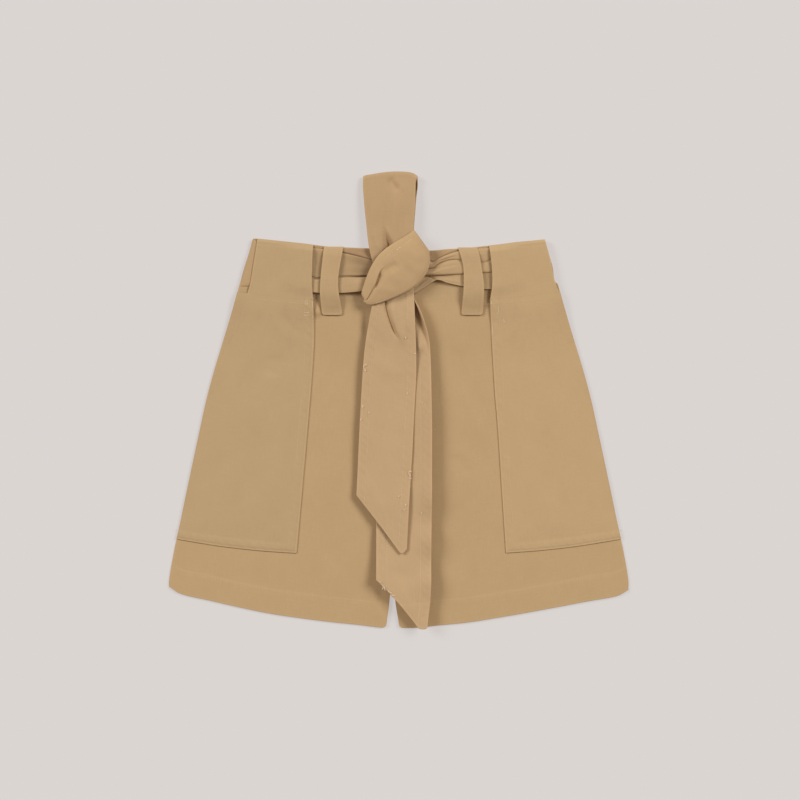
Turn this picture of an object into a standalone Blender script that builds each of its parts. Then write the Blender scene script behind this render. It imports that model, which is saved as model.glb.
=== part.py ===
"""Belted utility shorts, laid flat on their back on a table.

Sizes are in millimetres and become metres where a mesh is made. +X is the viewer's right, +Y runs from
the hems to the waist, +Z is up from the table, and the origin is the middle of the box's underside.
"""

import math
from collections import namedtuple

import bmesh
import bpy

MM = 0.001

# Cloth
CLOTH = 1.0  # wall of a cotton twill piece with its turned edge
GAP = 0.3  # between two pieces that are sewn or laid together
PLY = CLOTH + GAP  # from the middle of one ply to the middle of the next

# Waist
WAIST_DIP_Y = 158.6  # the top edge at the centre front
WAIST_END, WAIST_END_Y = 153.8, 168.0  # and at its ends
BAND_DEPTH = 57.0  # waistband, top edge to its seam with the legs
BAND_INSET = 2.2  # the waistband's ends, in from the belt's fold round the side
LOOP_WIDTH = 20.0
LOOP_END = 89.0  # y of a belt loop's lower end

# Heights of the middle of each ply above the table, at the waist
BELT_BACK_Z = 0.5 * CLOTH + PLY
BAND_BACK_Z = BELT_BACK_Z + PLY
BAND_FRONT_Z = BAND_BACK_Z + PLY
BELT_FRONT_Z = BAND_FRONT_Z + PLY
SIDE_PANEL_Z = BELT_FRONT_Z + PLY
LOOP_FRONT_Z = BELT_FRONT_Z + 2 * PLY + 0.1
KNOT_BOTTOM_Z = BELT_FRONT_Z + PLY + 1.2
KNOT_HEIGHT = 8.6

# Legs
LEG_BACK_Z = 0.5 * CLOTH
LEG_FRONT_Z = LEG_BACK_Z + PLY
RISE_LENGTH = 70.0  # below the waistband, over which the legs ease down to the table
DOME = 2.0  # how far the fronts stand up in their middle
POCKET_EASE = 34.0  # below its top, over which a pocket climbs to the side panel
TAIL_LIFT = 0.4  # extra air under each tail of the belt

# The garment's outline: half its width at each height, from the hems to the waist
Side = namedtuple("Side", "y half_width")
SIDES = (
    Side(-199.0, 241.0),
    Side(-164.0, 238.0),
    Side(-97.0, 224.0),
    Side(-30.0, 210.0),
    Side(4.0, 202.0),
    Side(54.0, 188.0),
    Side(104.0, 172.5),
    Side(138.0, 163.0),
    Side(WAIST_END_Y, WAIST_END),
)

# The curved hem, from the inseam to the side
Hem = namedtuple("Hem", "x y")
HEMS = (
    Hem(0.0, -240.0),
    Hem(30.0, -239.3),
    Hem(95.0, -231.5),
    Hem(150.0, -223.1),
    Hem(190.0, -214.7),
    Hem(226.0, -206.3),
    Hem(241.0, -199.0),
)

# The centre front and back seam, from the waistband down to the crotch, and the gap between the legs
CROTCH_X, CROTCH_Y = -7.0, -187.0
LEG_SPREAD = {-1: 0.105, 1: 0.13}  # how far each inseam leaves the seam's line, for each mm down

# Patch pockets: the inner edge at each height, then the bottom edge at each distance out
PocketSide = namedtuple("PocketSide", "y left_x right_x")
POCKET_SIDES = (
    PocketSide(-161.0, -108.0, 113.2),
    PocketSide(-80.0, -100.5, 107.8),
    PocketSide(-15.0, -93.2, 103.8),
    PocketSide(70.0, -88.6, 98.6),
    PocketSide(110.0, -89.4, 96.0),
)
PocketBottom = namedtuple("PocketBottom", "x y")
POCKET_BOTTOMS = (
    PocketBottom(108.0, -161.3),
    PocketBottom(146.0, -158.9),
    PocketBottom(184.0, -155.0),
    PocketBottom(210.0, -150.8),
    PocketBottom(234.0, -146.6),
)

# Side waist panels: both free edges at each height
SidePanel = namedtuple("SidePanel", "y left_inner left_outer right_inner right_outer")
SIDE_PANELS = (
    SidePanel(106.0, -89.6, -161.0, 96.6, 171.6),
    SidePanel(122.0, -91.0, -157.0, 98.0, 166.8),
    SidePanel(146.0, -90.5, -152.0, 96.8, 160.2),
    SidePanel(168.0, -89.4, -148.8, 93.6, 153.6),
)

# The belt at the front: its lower edge, fold line and upper edge at each place along it
BeltSection = namedtuple("BeltSection", "x low fold high")
BELT_LEFT = (
    BeltSection(-122.0, 118.0, 128.0, 161.0),
    BeltSection(-103.0, 115.0, 127.5, 158.6),
    BeltSection(-86.0, 112.4, 127.0, 155.6),
    BeltSection(-70.0, 111.4, 128.0, 154.2),
    BeltSection(-57.5, 111.6, 129.2, 153.0),
    BeltSection(-43.0, 113.0, 129.2, 149.6),
    BeltSection(-12.0, 117.0, 130.0, 144.0),
)
BELT_RIGHT = (
    BeltSection(12.0, 122.0, 132.0, 143.0),
    BeltSection(32.0, 124.0, 134.0, 143.6),
    BeltSection(47.0, 122.0, 132.6, 148.6),
    BeltSection(61.0, 119.6, 132.2, 153.0),
    BeltSection(76.0, 117.6, 132.8, 154.2),
    BeltSection(90.0, 116.0, 133.0, 155.6),
    BeltSection(122.0, 117.6, 133.0, 161.0),
)

# The belt's run under the side panels, in from the fold round the side, and its end under the back
SIDE_RUN_FRONT = 50.0
SIDE_RUN_BACK = 42.0
SIDE_LOW_Y, SIDE_HIGH_Y = 119.0, 158.7
BELT_BACK_LOW_Y, BELT_BACK_HIGH_Y = 103.6, 151.6  # its edges at the centre back

# Belt loops: the middle of each at its lower end, halfway up and at its top
Loop = namedtuple("Loop", "name bottom_x middle_x top_x")
LOOPS = (
    Loop("belt_loop_left", -69.8, -73.0, -68.4),
    Loop("belt_loop_right", 77.0, 78.0, 72.0),
)
LoopRow = namedtuple("LoopRow", "y lift")
LOOP_FRONT_PATH = (  # lift is the share of the way up from the waistband to the loop's height
    LoopRow(LOOP_END, 0.0),
    LoopRow(96.0, 0.06),
    LoopRow(107.0, 0.95),
    LoopRow(116.0, 1.0),
    LoopRow(148.0, 1.0),
    LoopRow(155.0, 0.9),
    LoopRow(158.4, 0.12),
    LoopRow(160.0, 0.02),
)
LOOP_BACK_PATH = (
    LoopRow(LOOP_END, 0.0),
    LoopRow(95.5, 0.1),
    LoopRow(101.5, 1.0),
    LoopRow(110.0, 1.0),
    LoopRow(153.0, 1.0),
    LoopRow(157.0, 0.1),
    LoopRow(159.2, 0.0),
)

# The knot's outline: its distance from its middle at each bearing, counter-clockwise from +X
KNOT_X, KNOT_Y = -3.0, 136.0
Bearing = namedtuple("Bearing", "degrees reach")
KNOT_OUTLINE = (
    Bearing(-180.0, 26.0),
    Bearing(-160.0, 32.2),
    Bearing(-148.0, 41.5),
    Bearing(-135.0, 47.7),
    Bearing(-122.0, 43.0),
    Bearing(-108.0, 33.8),
    Bearing(-80.0, 26.7),
    Bearing(-46.0, 26.1),
    Bearing(-15.0, 29.4),
    Bearing(4.0, 33.5),
    Bearing(27.0, 38.4),
    Bearing(47.0, 41.0),
    Bearing(65.0, 44.7),
    Bearing(76.0, 36.0),
    Bearing(90.0, 29.4),
    Bearing(116.0, 23.4),
    Bearing(152.0, 23.2),
    Bearing(180.0, 26.0),
)

# The bow's single loop: both edges and the heights of its two plies, from the knot to its fold
Bow = namedtuple("Bow", "y left_x right_x under_z over_z")
BOW = (
    Bow(149.0, -27.6, 14.0, 5.8, 7.3),
    Bow(161.0, -31.0, 15.2, 5.8, 7.3),
    Bow(172.0, -32.4, 15.8, 3.6, 6.8),
    Bow(184.0, -33.6, 16.4, 1.4, 5.2),
    Bow(200.0, -35.2, 17.4, 0.7, 4.4),
    Bow(232.9, -36.6, 19.0, 0.6, 4.0),
)
BOW_FOLD_BULGE = 4.2  # how far the fold's round end reaches past the last row
BOW_END_CROWN = 2.4  # the fold line bows up in its middle

# The two tails: both edges at each height, then where each edge stops at the slanted end
Tail = namedtuple("Tail", "y left_x right_x")
TAIL_FRONT = (
    Tail(112.0, -25.6, 14.4),
    Tail(84.0, -31.6, 16.0),
    Tail(54.0, -36.5, 17.2),
    Tail(24.0, -38.8, 17.8),
    Tail(-27.0, -41.4, 15.9),
    Tail(-80.0, -44.0, 13.6),
    Tail(-118.0, -45.6, 11.4),
    Tail(-162.0, -47.0, 9.0),
)
TAIL_REAR = (
    Tail(112.0, -24.0, 16.8),
    Tail(78.0, -26.0, 27.4),
    Tail(58.0, -26.0, 32.4),
    Tail(24.0, -25.0, 34.6),
    Tail(-27.0, -24.0, 35.8),
    Tail(-95.0, -23.6, 35.8),
    Tail(-168.0, -23.6, 34.4),
    Tail(-240.0, -23.6, 31.0),
)
TAIL_FRONT_TOP = (104.0, 118.0)  # y of the left and the right corner under the knot
TAIL_REAR_TOP = (104.0, 116.0)
TAIL_FRONT_END = (-101.0, -161.0)
TAIL_REAR_END = (-189.0, -239.6)


def smooth_curve(table, column):
    """A smooth function through the table's rows, from its first column to the named one."""
    rows = sorted(table)
    knots = [row[0] for row in rows]
    values = [getattr(row, column) for row in rows]
    last = len(table) - 1
    slopes = []
    for i in range(last + 1):
        a, b = max(i - 1, 0), min(i + 1, last)
        slopes.append((values[b] - values[a]) / (knots[b] - knots[a]))

    def value(at):
        if at <= knots[0]:
            return values[0] + slopes[0] * (at - knots[0])
        if at >= knots[last]:
            return values[last] + slopes[last] * (at - knots[last])
        i = next(k for k in range(last) if at <= knots[k + 1])
        span = knots[i + 1] - knots[i]
        t = (at - knots[i]) / span
        start = (2 * t**3 - 3 * t**2 + 1) * values[i] + (t**3 - 2 * t**2 + t) * span * slopes[i]
        end = (3 * t**2 - 2 * t**3) * values[i + 1] + (t**3 - t**2) * span * slopes[i + 1]
        return start + end

    return value


def between(a, b, share):
    return a + (b - a) * share


def ease(share):
    """0 to 1 with a level start and end."""
    share = min(max(share, 0.0), 1.0)
    return share * share * (3 - 2 * share)


side_x = smooth_curve(SIDES, "half_width")
hem_curve = smooth_curve(HEMS, "y")


def hem_y(x):
    return hem_curve(abs(x))


def waist_y(x):
    """The waist's top edge, which dips at the centre front."""
    return WAIST_DIP_Y + (WAIST_END_Y - WAIST_DIP_Y) * (x / WAIST_END) ** 2


def seam_y(x):
    return waist_y(x) - BAND_DEPTH


def seam_end():
    """Half the length of the waistband's seam: where it meets the outline."""
    x = side_x(seam_y(0.0))
    for _ in range(8):
        x = side_x(seam_y(x))
    return x


def inner_x(side, y):
    """A leg panel's inner edge: the centre seam above the crotch, the inseam below it."""
    down = min(max((seam_y(0.0) - y) / (seam_y(0.0) - CROTCH_Y), 0.0), 1.0)
    return CROTCH_X * down + side * (0.5 * GAP + LEG_SPREAD[side] * max(CROTCH_Y - y, 0.0))


def rise(x, y):
    """How far the cloth has climbed from the table, at 0, to its height at the waistband, at 1."""
    return ease((y - seam_y(x) + RISE_LENGTH) / RISE_LENGTH)


def back_z(x, y):
    return LEG_BACK_Z + (BAND_BACK_Z - LEG_BACK_Z) * rise(x, y)


def front_z(x, y):
    across = min(abs(x) / side_x(y), 1.0)
    up = min(max((y - hem_y(x)) / (seam_y(x) - hem_y(x)), 0.0), 1.0)
    dome = DOME * (1 - across**2) * math.sin(math.pi * up)
    return LEG_FRONT_Z + (BAND_FRONT_Z - LEG_FRONT_Z) * rise(x, y) + dome


def cotton(name, colour):
    """A matte cotton twill, in linear colour."""
    material = bpy.data.materials.new(name)
    material.use_nodes = True
    shader = material.node_tree.nodes["Principled BSDF"]
    shader.inputs["Base Color"].default_value = (*colour, 1.0)
    shader.inputs["Roughness"].default_value = 0.85
    shader.inputs["Metallic"].default_value = 0.0
    return material


def add_piece(name, mesh, material):
    mesh.materials.append(material)
    mesh.shade_smooth()
    piece = bpy.data.objects.new(name, mesh)
    piece.parent = shorts
    garment.objects.link(piece)
    return piece


def add_cloth(name, material, surface, columns, rows):
    """A cut piece of cloth: a grid whose points surface(u, v) places, with a wall from Solidify."""
    grid = bmesh.new()
    bmesh.ops.create_grid(grid, x_segments=columns, y_segments=rows, size=0.5)
    for vert in grid.verts:
        vert.co = [MM * c for c in surface(vert.co.x + 0.5, vert.co.y + 0.5)]
    mesh = bpy.data.meshes.new(name)
    grid.to_mesh(mesh)
    grid.free()
    piece = add_piece(name, mesh, material)
    wall = piece.modifiers.new("wall", "SOLIDIFY")
    wall.thickness = CLOTH * MM
    wall.offset = 0.0
    return piece


def add_leg(name, side, height, inset=0.0):
    """A leg panel: side is -1 or 1, u runs from the centre seam out, v from the hem up."""

    def surface(u, v):
        hem_x = between(inner_x(side, hem_y(0.0)), side * (side_x(SIDES[0].y) - inset), u)
        top_x = between(inner_x(side, seam_y(0.0)), side * (seam_end() - inset), u)
        y = between(hem_y(hem_x) + inset, seam_y(top_x) - GAP, v)
        x = between(inner_x(side, y), side * (side_x(y) - inset), u)
        return x, y, height(x, y)

    add_cloth(name, twill_leg, surface, columns=12, rows=18)


def add_waistband(name, start, end, z, columns):
    """A waistband between two places given as shares of the half width, from -1 to 1."""

    def surface(u, v):
        share = between(start, end, u)
        low_x = share * (seam_end() - BAND_INSET)
        top_x = share * (WAIST_END - BAND_INSET)
        return between(low_x, top_x, v), between(seam_y(low_x), waist_y(top_x), v), z

    add_cloth(name, twill_waist, surface, columns, rows=3)


def add_pocket(name, side, column):
    """A patch pocket, laid on its leg's points moved up by one ply, whose top climbs to the side panel."""
    inner_x = smooth_curve(POCKET_SIDES, column)
    bottom_y = smooth_curve(POCKET_BOTTOMS, "y")

    def surface(u, v):
        bottom_x = between(inner_x(POCKET_SIDES[0].y), side * side_x(POCKET_BOTTOMS[-1].y), u)
        top_x = between(inner_x(POCKET_SIDES[-1].y), side * seam_end(), u)
        top_y = seam_y(top_x)
        y = between(bottom_y(abs(bottom_x)), top_y, v)
        x = between(inner_x(y), side * side_x(y), u)
        climb = (SIDE_PANEL_Z - BAND_FRONT_Z - PLY) * ease((y - top_y + POCKET_EASE) / POCKET_EASE)
        return x, y, front_z(x, y) + PLY + climb

    add_cloth(name, twill_pocket, surface, columns=8, rows=16)


def add_side_panel(name, side):
    """A side waist panel: its upright edges are free, and the belt runs under it."""
    inner_x = smooth_curve(SIDE_PANELS, f"{side}_inner")
    outer_x = smooth_curve(SIDE_PANELS, f"{side}_outer")
    top_turn = 3.0  # the strip along the top that turns down to the waistband

    def surface(u, v):
        top_x = between(inner_x(SIDE_PANELS[-1].y), outer_x(SIDE_PANELS[-1].y), u)
        low_x = between(inner_x(SIDE_PANELS[0].y), outer_x(SIDE_PANELS[0].y), u)
        y = between(seam_y(low_x) + GAP, waist_y(top_x), v)
        turn = ease((y - waist_y(top_x) + top_turn) / top_turn)
        z = SIDE_PANEL_Z - (SIDE_PANEL_Z - BAND_FRONT_Z - PLY) * turn
        return between(inner_x(y), outer_x(y), u), y, z

    def rows_at(v):
        """Most rows are even, and the last one is the turned strip."""
        last = 1 - top_turn / BAND_DEPTH
        return v / 0.8 * last if v < 0.8 else between(last, 1.0, (v - 0.8) / 0.2)

    add_cloth(name, twill_pocket, lambda u, v: surface(u, rows_at(v)), columns=6, rows=5)


def add_belt_back():
    """The belt's stretch under the back, between the two runs that go round the sides."""

    def surface(u, v):
        share = between(-1.0, 1.0, u)
        edge = ease((abs(share) - 0.3) / 0.7)
        low = between(BELT_BACK_LOW_Y, SIDE_LOW_Y, edge)
        high = between(BELT_BACK_HIGH_Y, SIDE_HIGH_Y, edge)
        y = between(low, high, v)
        return share * (side_x(y) - SIDE_RUN_BACK - GAP), y, BELT_BACK_Z

    add_cloth("belt_back", twill_belt, surface, columns=12, rows=2)


def add_belt_side(name, side):
    """The belt's run round a side: under the waistband's end, round it in a fold, and back on top."""
    radius = 0.5 * (BELT_FRONT_Z - BELT_BACK_Z)
    fold_share, flat_back, flat_front = 0.6, 0.2, 0.8

    def path(u):
        """(inset from the outline, height) along the run."""
        centre = 0.5 * CLOTH + radius
        if u < flat_back:
            return between(SIDE_RUN_BACK, centre, u / flat_back), BELT_BACK_Z
        if u > flat_front:
            return between(centre, SIDE_RUN_FRONT, (u - flat_front) / (1 - flat_front)), BELT_FRONT_Z
        turn = math.pi * (u - flat_back) / fold_share
        return centre - radius * math.sin(turn), BELT_BACK_Z + radius * (1 - math.cos(turn))

    def surface(u, v):
        inset, z = path(u)
        y = between(SIDE_LOW_Y, SIDE_HIGH_Y, v)
        return side * (side_x(y) - inset), y, z

    add_cloth(name, twill_belt, surface, columns=10, rows=3)


def add_belt_front(name, table, side):
    """A stretch of the belt beside the knot: its upper half lies in a fold over its lower half."""
    low = smooth_curve(table, "low")
    fold = smooth_curve(table, "fold")
    high = smooth_curve(table, "high")
    knot_end = table[-1].x if side < 0 else table[0].x
    folded_from, flat_from = 79.0, 89.0  # the fold flattens out before it goes under the side panel
    # Each row across the belt: its share of the way from edge to fold, then to the other edge
    across = (-1.0, -0.5, -0.08, 0.08, 0.5, 1.0)

    def surface(u, v):
        place = across[round(v * (len(across) - 1))]
        middle_y = 138.0
        outer_end = side * (side_x(middle_y) - SIDE_RUN_FRONT - GAP)
        along = between(outer_end, knot_end, u)
        edge = low if place < 0 else high
        y = between(fold(along), edge(along), abs(place))
        outer = side * (side_x(y) - SIDE_RUN_FRONT - GAP)
        x = between(outer, knot_end, u)
        folded = 1 - ease((abs(x) - folded_from) / (flat_from - folded_from))
        step = PLY * folded * (1 - 0.9 * place) if place > 0 else 0.0
        return x, y, BELT_FRONT_Z + step

    add_cloth(name, twill_belt, surface, columns=12, rows=len(across) - 1)


def add_loop(loop, path, low_z, high_z):
    """A belt loop: a strip that is sewn on at both ends and stands over the belt between them."""
    lift = smooth_curve(path, "lift")
    Middle = namedtuple("Middle", "y x")
    middles = (
        Middle(LOOP_END, loop.bottom_x),
        Middle(120.0, loop.middle_x),
        Middle(160.0, loop.top_x),
    )
    middle_x = smooth_curve(middles, "x")
    rows = len(path) - 1

    def surface(u, v):
        y = path[round(v * rows)].y
        x = middle_x(y) + between(-0.5, 0.5, u) * LOOP_WIDTH
        return x, y, between(low_z(x, y), high_z, lift(y))

    add_cloth(loop.name, twill_waist, surface, columns=2, rows=rows)


def add_knot():
    """The belt's wrap round the crossing: one rounded form over the plies that meet under it."""
    reach = smooth_curve(KNOT_OUTLINE, "reach")
    underside = 1.2  # how far the rounded rim dips below its widest line
    ball = bmesh.new()
    bmesh.ops.create_uvsphere(ball, u_segments=28, v_segments=10, radius=1.0)
    for vert in ball.verts:
        out = math.hypot(vert.co.x, vert.co.y)
        bearing = math.atan2(vert.co.y, vert.co.x)
        far = reach(math.degrees(bearing)) * out
        height = vert.co.z * (KNOT_HEIGHT if vert.co.z > 0 else underside)
        x = KNOT_X + far * math.cos(bearing)
        y = KNOT_Y + far * math.sin(bearing)
        vert.co = (MM * x, MM * y, MM * (KNOT_BOTTOM_Z + underside + height))
    mesh = bpy.data.meshes.new("belt_knot")
    ball.to_mesh(mesh)
    ball.free()
    add_piece("belt_knot", mesh, twill_belt)


def add_bow():
    """The bow's loop: up under, round its fold and back down over, with the two plies close together."""
    left = smooth_curve(BOW, "left_x")
    right = smooth_curve(BOW, "right_x")
    under = smooth_curve(BOW, "under_z")
    over = smooth_curve(BOW, "over_z")
    start, end = BOW[0].y, BOW[-1].y
    rows, turn_rows = 22, 6
    straight_rows = (rows - turn_rows) // 2

    def surface(u, v):
        row = round(v * rows)
        crown = BOW_END_CROWN * math.sin(math.pi * u)
        if row <= straight_rows:
            share = row / straight_rows
            y = between(start, end + crown, share)
            z = under(y)
        elif row >= straight_rows + turn_rows:
            share = (rows - row) / straight_rows
            y = between(start, end + crown, share)
            z = over(y)
        else:
            turn = math.pi * (row - straight_rows) / turn_rows
            low, high = under(end + crown), over(end + crown)
            y = end + crown + BOW_FOLD_BULGE * math.sin(turn)
            z = between(low, high, 0.5 * (1 - math.cos(turn)))
        return between(left(y), right(y), u), y, z

    add_cloth("belt_bow", twill_belt, surface, columns=4, rows=rows)


def add_tail(name, table, top, end, plies):
    """A tail of the belt: plies is how many plies up from the front it lies."""
    left = smooth_curve(table, "left_x")
    right = smooth_curve(table, "right_x")

    def surface(u, v):
        y = between(between(*end, u), between(*top, u), v)
        x = between(left(y), right(y), u)
        free = 1 - rise(x, y)
        return x, y, front_z(x, y) + plies * (PLY + TAIL_LIFT * free)

    add_cloth(name, twill_belt, surface, columns=4, rows=20)


for leftover in list(bpy.data.objects):
    bpy.data.objects.remove(leftover, do_unlink=True)

garment = bpy.data.collections.new("belted_shorts")
bpy.context.scene.collection.children.link(garment)
shorts = bpy.data.objects.new("shorts", None)
garment.objects.link(shorts)

twill_leg = cotton("twill_leg", (0.509, 0.337, 0.171))
twill_waist = cotton("twill_waist", (0.485, 0.323, 0.168))
twill_pocket = cotton("twill_pocket", (0.509, 0.337, 0.175))
twill_belt = cotton("twill_belt", (0.533, 0.352, 0.191))

for side, word in ((-1, "left"), (1, "right")):
    add_leg(f"back_{word}", side, back_z, inset=0.4)
    add_leg(f"front_{word}", side, front_z)
    add_pocket(f"pocket_{word}", side, f"{word}_x")
    add_side_panel(f"side_panel_{word}", word)
    add_belt_side(f"belt_side_{word}", side)

middle = 0.5 * GAP / WAIST_END
add_waistband("waistband_back", -1.0, 1.0, BAND_BACK_Z, columns=16)
add_waistband("waistband_front_left", -1.0, -middle, BAND_FRONT_Z, columns=8)
add_waistband("waistband_front_right", middle, 1.0, BAND_FRONT_Z, columns=8)

add_belt_back()
add_belt_front("belt_left", BELT_LEFT, -1)
add_belt_front("belt_right", BELT_RIGHT, 1)
add_knot()
add_bow()
add_tail("belt_tail_rear", TAIL_REAR, TAIL_REAR_TOP, TAIL_REAR_END, plies=1)
add_tail("belt_tail_front", TAIL_FRONT, TAIL_FRONT_TOP, TAIL_FRONT_END, plies=2)

for front_loop in LOOPS:
    add_loop(front_loop, LOOP_FRONT_PATH, lambda x, y: front_z(x, min(y, seam_y(x))) + PLY, LOOP_FRONT_Z)
back_loop = Loop("belt_loop_back", 0.0, 0.0, 0.0)
add_loop(back_loop, LOOP_BACK_PATH, lambda x, y: back_z(x, min(y, seam_y(x))) - PLY, 0.5 * CLOTH)
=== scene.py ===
"""Belted utility shorts in camel cotton twill, laid flat on their back on a pale table.

Sizes are in millimetres and become metres where a mesh is made. +X is the viewer's right, +Y runs from
the hems to the waist, +Z is up from the table.
"""

import math
from collections import namedtuple
from functools import partial

import bmesh
import bpy
import numpy as np
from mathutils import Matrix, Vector


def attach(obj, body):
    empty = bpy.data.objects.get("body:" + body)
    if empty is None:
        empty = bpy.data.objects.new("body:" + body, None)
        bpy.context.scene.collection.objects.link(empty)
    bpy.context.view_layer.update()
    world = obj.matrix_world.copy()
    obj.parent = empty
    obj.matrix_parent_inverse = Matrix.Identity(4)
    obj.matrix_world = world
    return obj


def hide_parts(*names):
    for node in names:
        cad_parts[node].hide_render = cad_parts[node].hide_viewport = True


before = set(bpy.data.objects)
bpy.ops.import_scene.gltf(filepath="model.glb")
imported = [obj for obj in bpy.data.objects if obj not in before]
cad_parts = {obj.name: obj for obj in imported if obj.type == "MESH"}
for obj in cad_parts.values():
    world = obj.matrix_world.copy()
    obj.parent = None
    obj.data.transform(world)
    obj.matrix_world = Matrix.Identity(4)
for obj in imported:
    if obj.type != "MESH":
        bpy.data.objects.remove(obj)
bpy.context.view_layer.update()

# ---- Backs of the legs
# Two panels of camel cotton twill, sewn together down the centre back. They lie on the table and carry
# the rest. The fronts hide them, and the fronts' allowance rolls down over their sides.

MM = 0.001
SIDES = ((-1, "left"), (1, "right"))
CLOTH = 1.0  # a ply with its turned edge
GAP = 0.3
PLY = CLOTH + GAP
LEG_BACK_Z = 0.5 * CLOTH
BAND_BACK_Z = 4.4 - PLY
HEM_DEPTH = 26.0
HEM_SIDE_Y = -199.0  # where the hem meets the side seam
HEM_CORNER, HEM_CORNER_REACH = 4.5, 24.0  # the hem's inner corner is rounded
WAIST_END = 153.8  # half the waist
WAIST_Y, WAIST_SWEEP = 158.6, 9.4  # the waist's middle, and how much higher its ends lie
BAND_DEPTH = 57.0
CLIMB = 70.0  # below the waistband, the stretch where the cloth climbs over the belt's plies
CROTCH_X, CROTCH_Y = -7.0, -187.0
LEG_SPREAD = {-1: 0.105, 1: 0.13}  # how far an inseam leans out, for each mm down
BACK_INSET = 2.0
SEWN = -0.25  # a seam draws its edges together, a little over each other


def through(at, value, x):
    """Reads at x a smooth line through the values that stand at the stops, which goes straight on past its
    ends. A value is one number or, as x, one for each point."""
    value = np.asarray(value, float)
    x = np.asarray(x, float)
    slope = np.gradient(value, at, axis=0)
    slope[1:-1] = ((value[2:] - value[:-2]).T / (at[2:] - at[:-2])).T
    inside = np.clip(x, at[0], at[-1])
    i = np.clip(np.searchsorted(at, inside, side="right") - 1, 0, len(at) - 2)
    point = (np.arange(len(x)),) if value.ndim > 1 else ()
    here, after = (i, *point), (i + 1, *point)
    span = at[i + 1] - at[i]
    t = (inside - at[i]) / span
    start = (2 * t**3 - 3 * t**2 + 1) * value[here] + (t**3 - 2 * t**2 + t) * span * slope[here]
    end = (3 * t**2 - 2 * t**3) * value[after] + (t**3 - t**2) * span * slope[after]
    return start + end + np.where(x < at[0], slope[0], slope[-1]) * (x - inside)


def curves(rows):
    """Smooth functions of a table's first column, one for each of its other columns."""
    at, *columns = np.array(rows, float).T
    return [partial(through, at, column) for column in columns]


def curve(*rows):
    return curves(sorted(rows))[0]


def between(a, b, share):
    return a + (b - a) * share


def ease(share):
    """0 to 1 with a level start and end."""
    share = np.clip(share, 0.0, 1.0)
    return share * share * (3 - 2 * share)


def fade(distance, reach):
    """1 up to the start of a reach, and down to 0 at its end."""
    return 1 - ease(distance / reach)


def bell(distance, width):
    return np.exp(-((distance / width) ** 2))


side_x = curve(
    (-199, 241.3), (-189, 241.1), (-158, 235.8), (-126, 228.8), (-95, 222.4), (-63, 215.6), (-32, 208.95),
    (0, 201.9), (31, 193.6), (62, 184.2), (94, 174.6), (125, 165.9), (157, 156.5), (168, 153.4),
)
hem_line = curve(
    (0, -240), (19, -239.6), (42, -236.9), (73, -233.7), (105, -229.2), (136, -224.1), (168, -217.9),
    (199, -211.4), (230, -204.8), (241, -199),
)
waist_dip = curve(  # the waist's own unevenness, lowest beside the knot
    (-154, 1.4), (-133, 1.6), (-104, 1.3), (-89, 0.6), (-74, -0.2), (-45, -0.2), (0, -0.8), (35, -2.7),
    (50, -1.8), (64, -1.8), (79, -1.2), (108, -0.1), (123, 0.5), (154, 0.0),
)
hem_skew = curve(  # the two hems don't lie quite alike
    (-241, 2.2), (-230, 1.0), (-198, 0.2), (-167, -0.4), (-135, -0.7), (-104, -0.2), (-70, 0.2), (0, 0),
    (43, -0.4), (75, -0.4), (106, 0.1), (138, 0.3), (169, 0), (201, -0.6), (232, -1.4), (241, -1.2),
)


def hem_y(x):
    return hem_line(np.abs(x)) + hem_skew(x)


def waist_arc(x):
    return WAIST_Y + WAIST_SWEEP * (x / WAIST_END) ** 2


def waist_y(x):
    return waist_arc(x) + waist_dip(x)


def seam_y(x):
    """Where the waistband is sewn to the legs."""
    return waist_arc(x) - BAND_DEPTH


SEAM_END = 172.9  # where that seam meets the side, closed in on from a first guess
for _ in range(8):
    SEAM_END = float(side_x(seam_y(SEAM_END)))


def inner_x(side, y):
    """A leg panel's inner edge: the centre seam above the crotch, the inseam below it."""
    down = np.clip((seam_y(0.0) - y) / (seam_y(0.0) - CROTCH_Y), 0.0, 1.0)
    return CROTCH_X * down + side * (0.5 * GAP + LEG_SPREAD[side] * np.maximum(CROTCH_Y - y, 0.0))


def rise(x, y):
    """How far the cloth has climbed from the table, at 0, to the waistband's height, at 1."""
    return ease((y - seam_y(x) + CLIMB) / CLIMB)


def creased(x, y, creases):
    """Soft ridges, and troughs where the height is below 0, from rows of where each starts (x, y) and ends
    (x, y), how far it bows aside, its width and its height."""
    total = np.zeros(np.shape(x))
    for x0, y0, x1, y1, bow, width, height in creases:
        length = math.hypot(x1 - x0, y1 - y0)
        along = ((x - x0) * (x1 - x0) + (y - y0) * (y1 - y0)) / length**2
        off = ((x - x0) * (y1 - y0) - (y - y0) * (x1 - x0)) / length
        off = off - bow * 4 * along * (1 - along)
        ends = ease((along + 0.15) / 0.4) * ease((1.15 - along) / 0.4)
        total = total + height * ends * bell(off, width)
    return total


def puckered(along, pitch, wander, drift):
    """The small waves that a row of stitches draws the cloth into, whose spacing wanders slowly."""
    return np.sin(along / pitch + wander * np.sin(along / drift))


def hem(x, y):
    """The hem's doubled cloth, the channel that its thread pulls in it, and the puckers beside that."""
    up = y - hem_y(x)
    doubled = 0.3 * fade(up - HEM_DEPTH + 2.5, 5.0)
    channel = -0.16 * bell(up - HEM_DEPTH, 0.9)
    puckers = 0.1 * puckered(x, 1.35, 1.7, 9.0) * bell(up - HEM_DEPTH + 4.0, 4.5)
    return doubled + channel + puckers


BACK_CREASES = (
    (-60, 62, -150, 20, 6, 9, 0.5), (-20, -60, -120, -130, -9, 12, 0.45), (35, 40, 140, -35, 8, 10, 0.5),
    (20, -110, 128, -150, -5, 8, 0.4),
)


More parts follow.
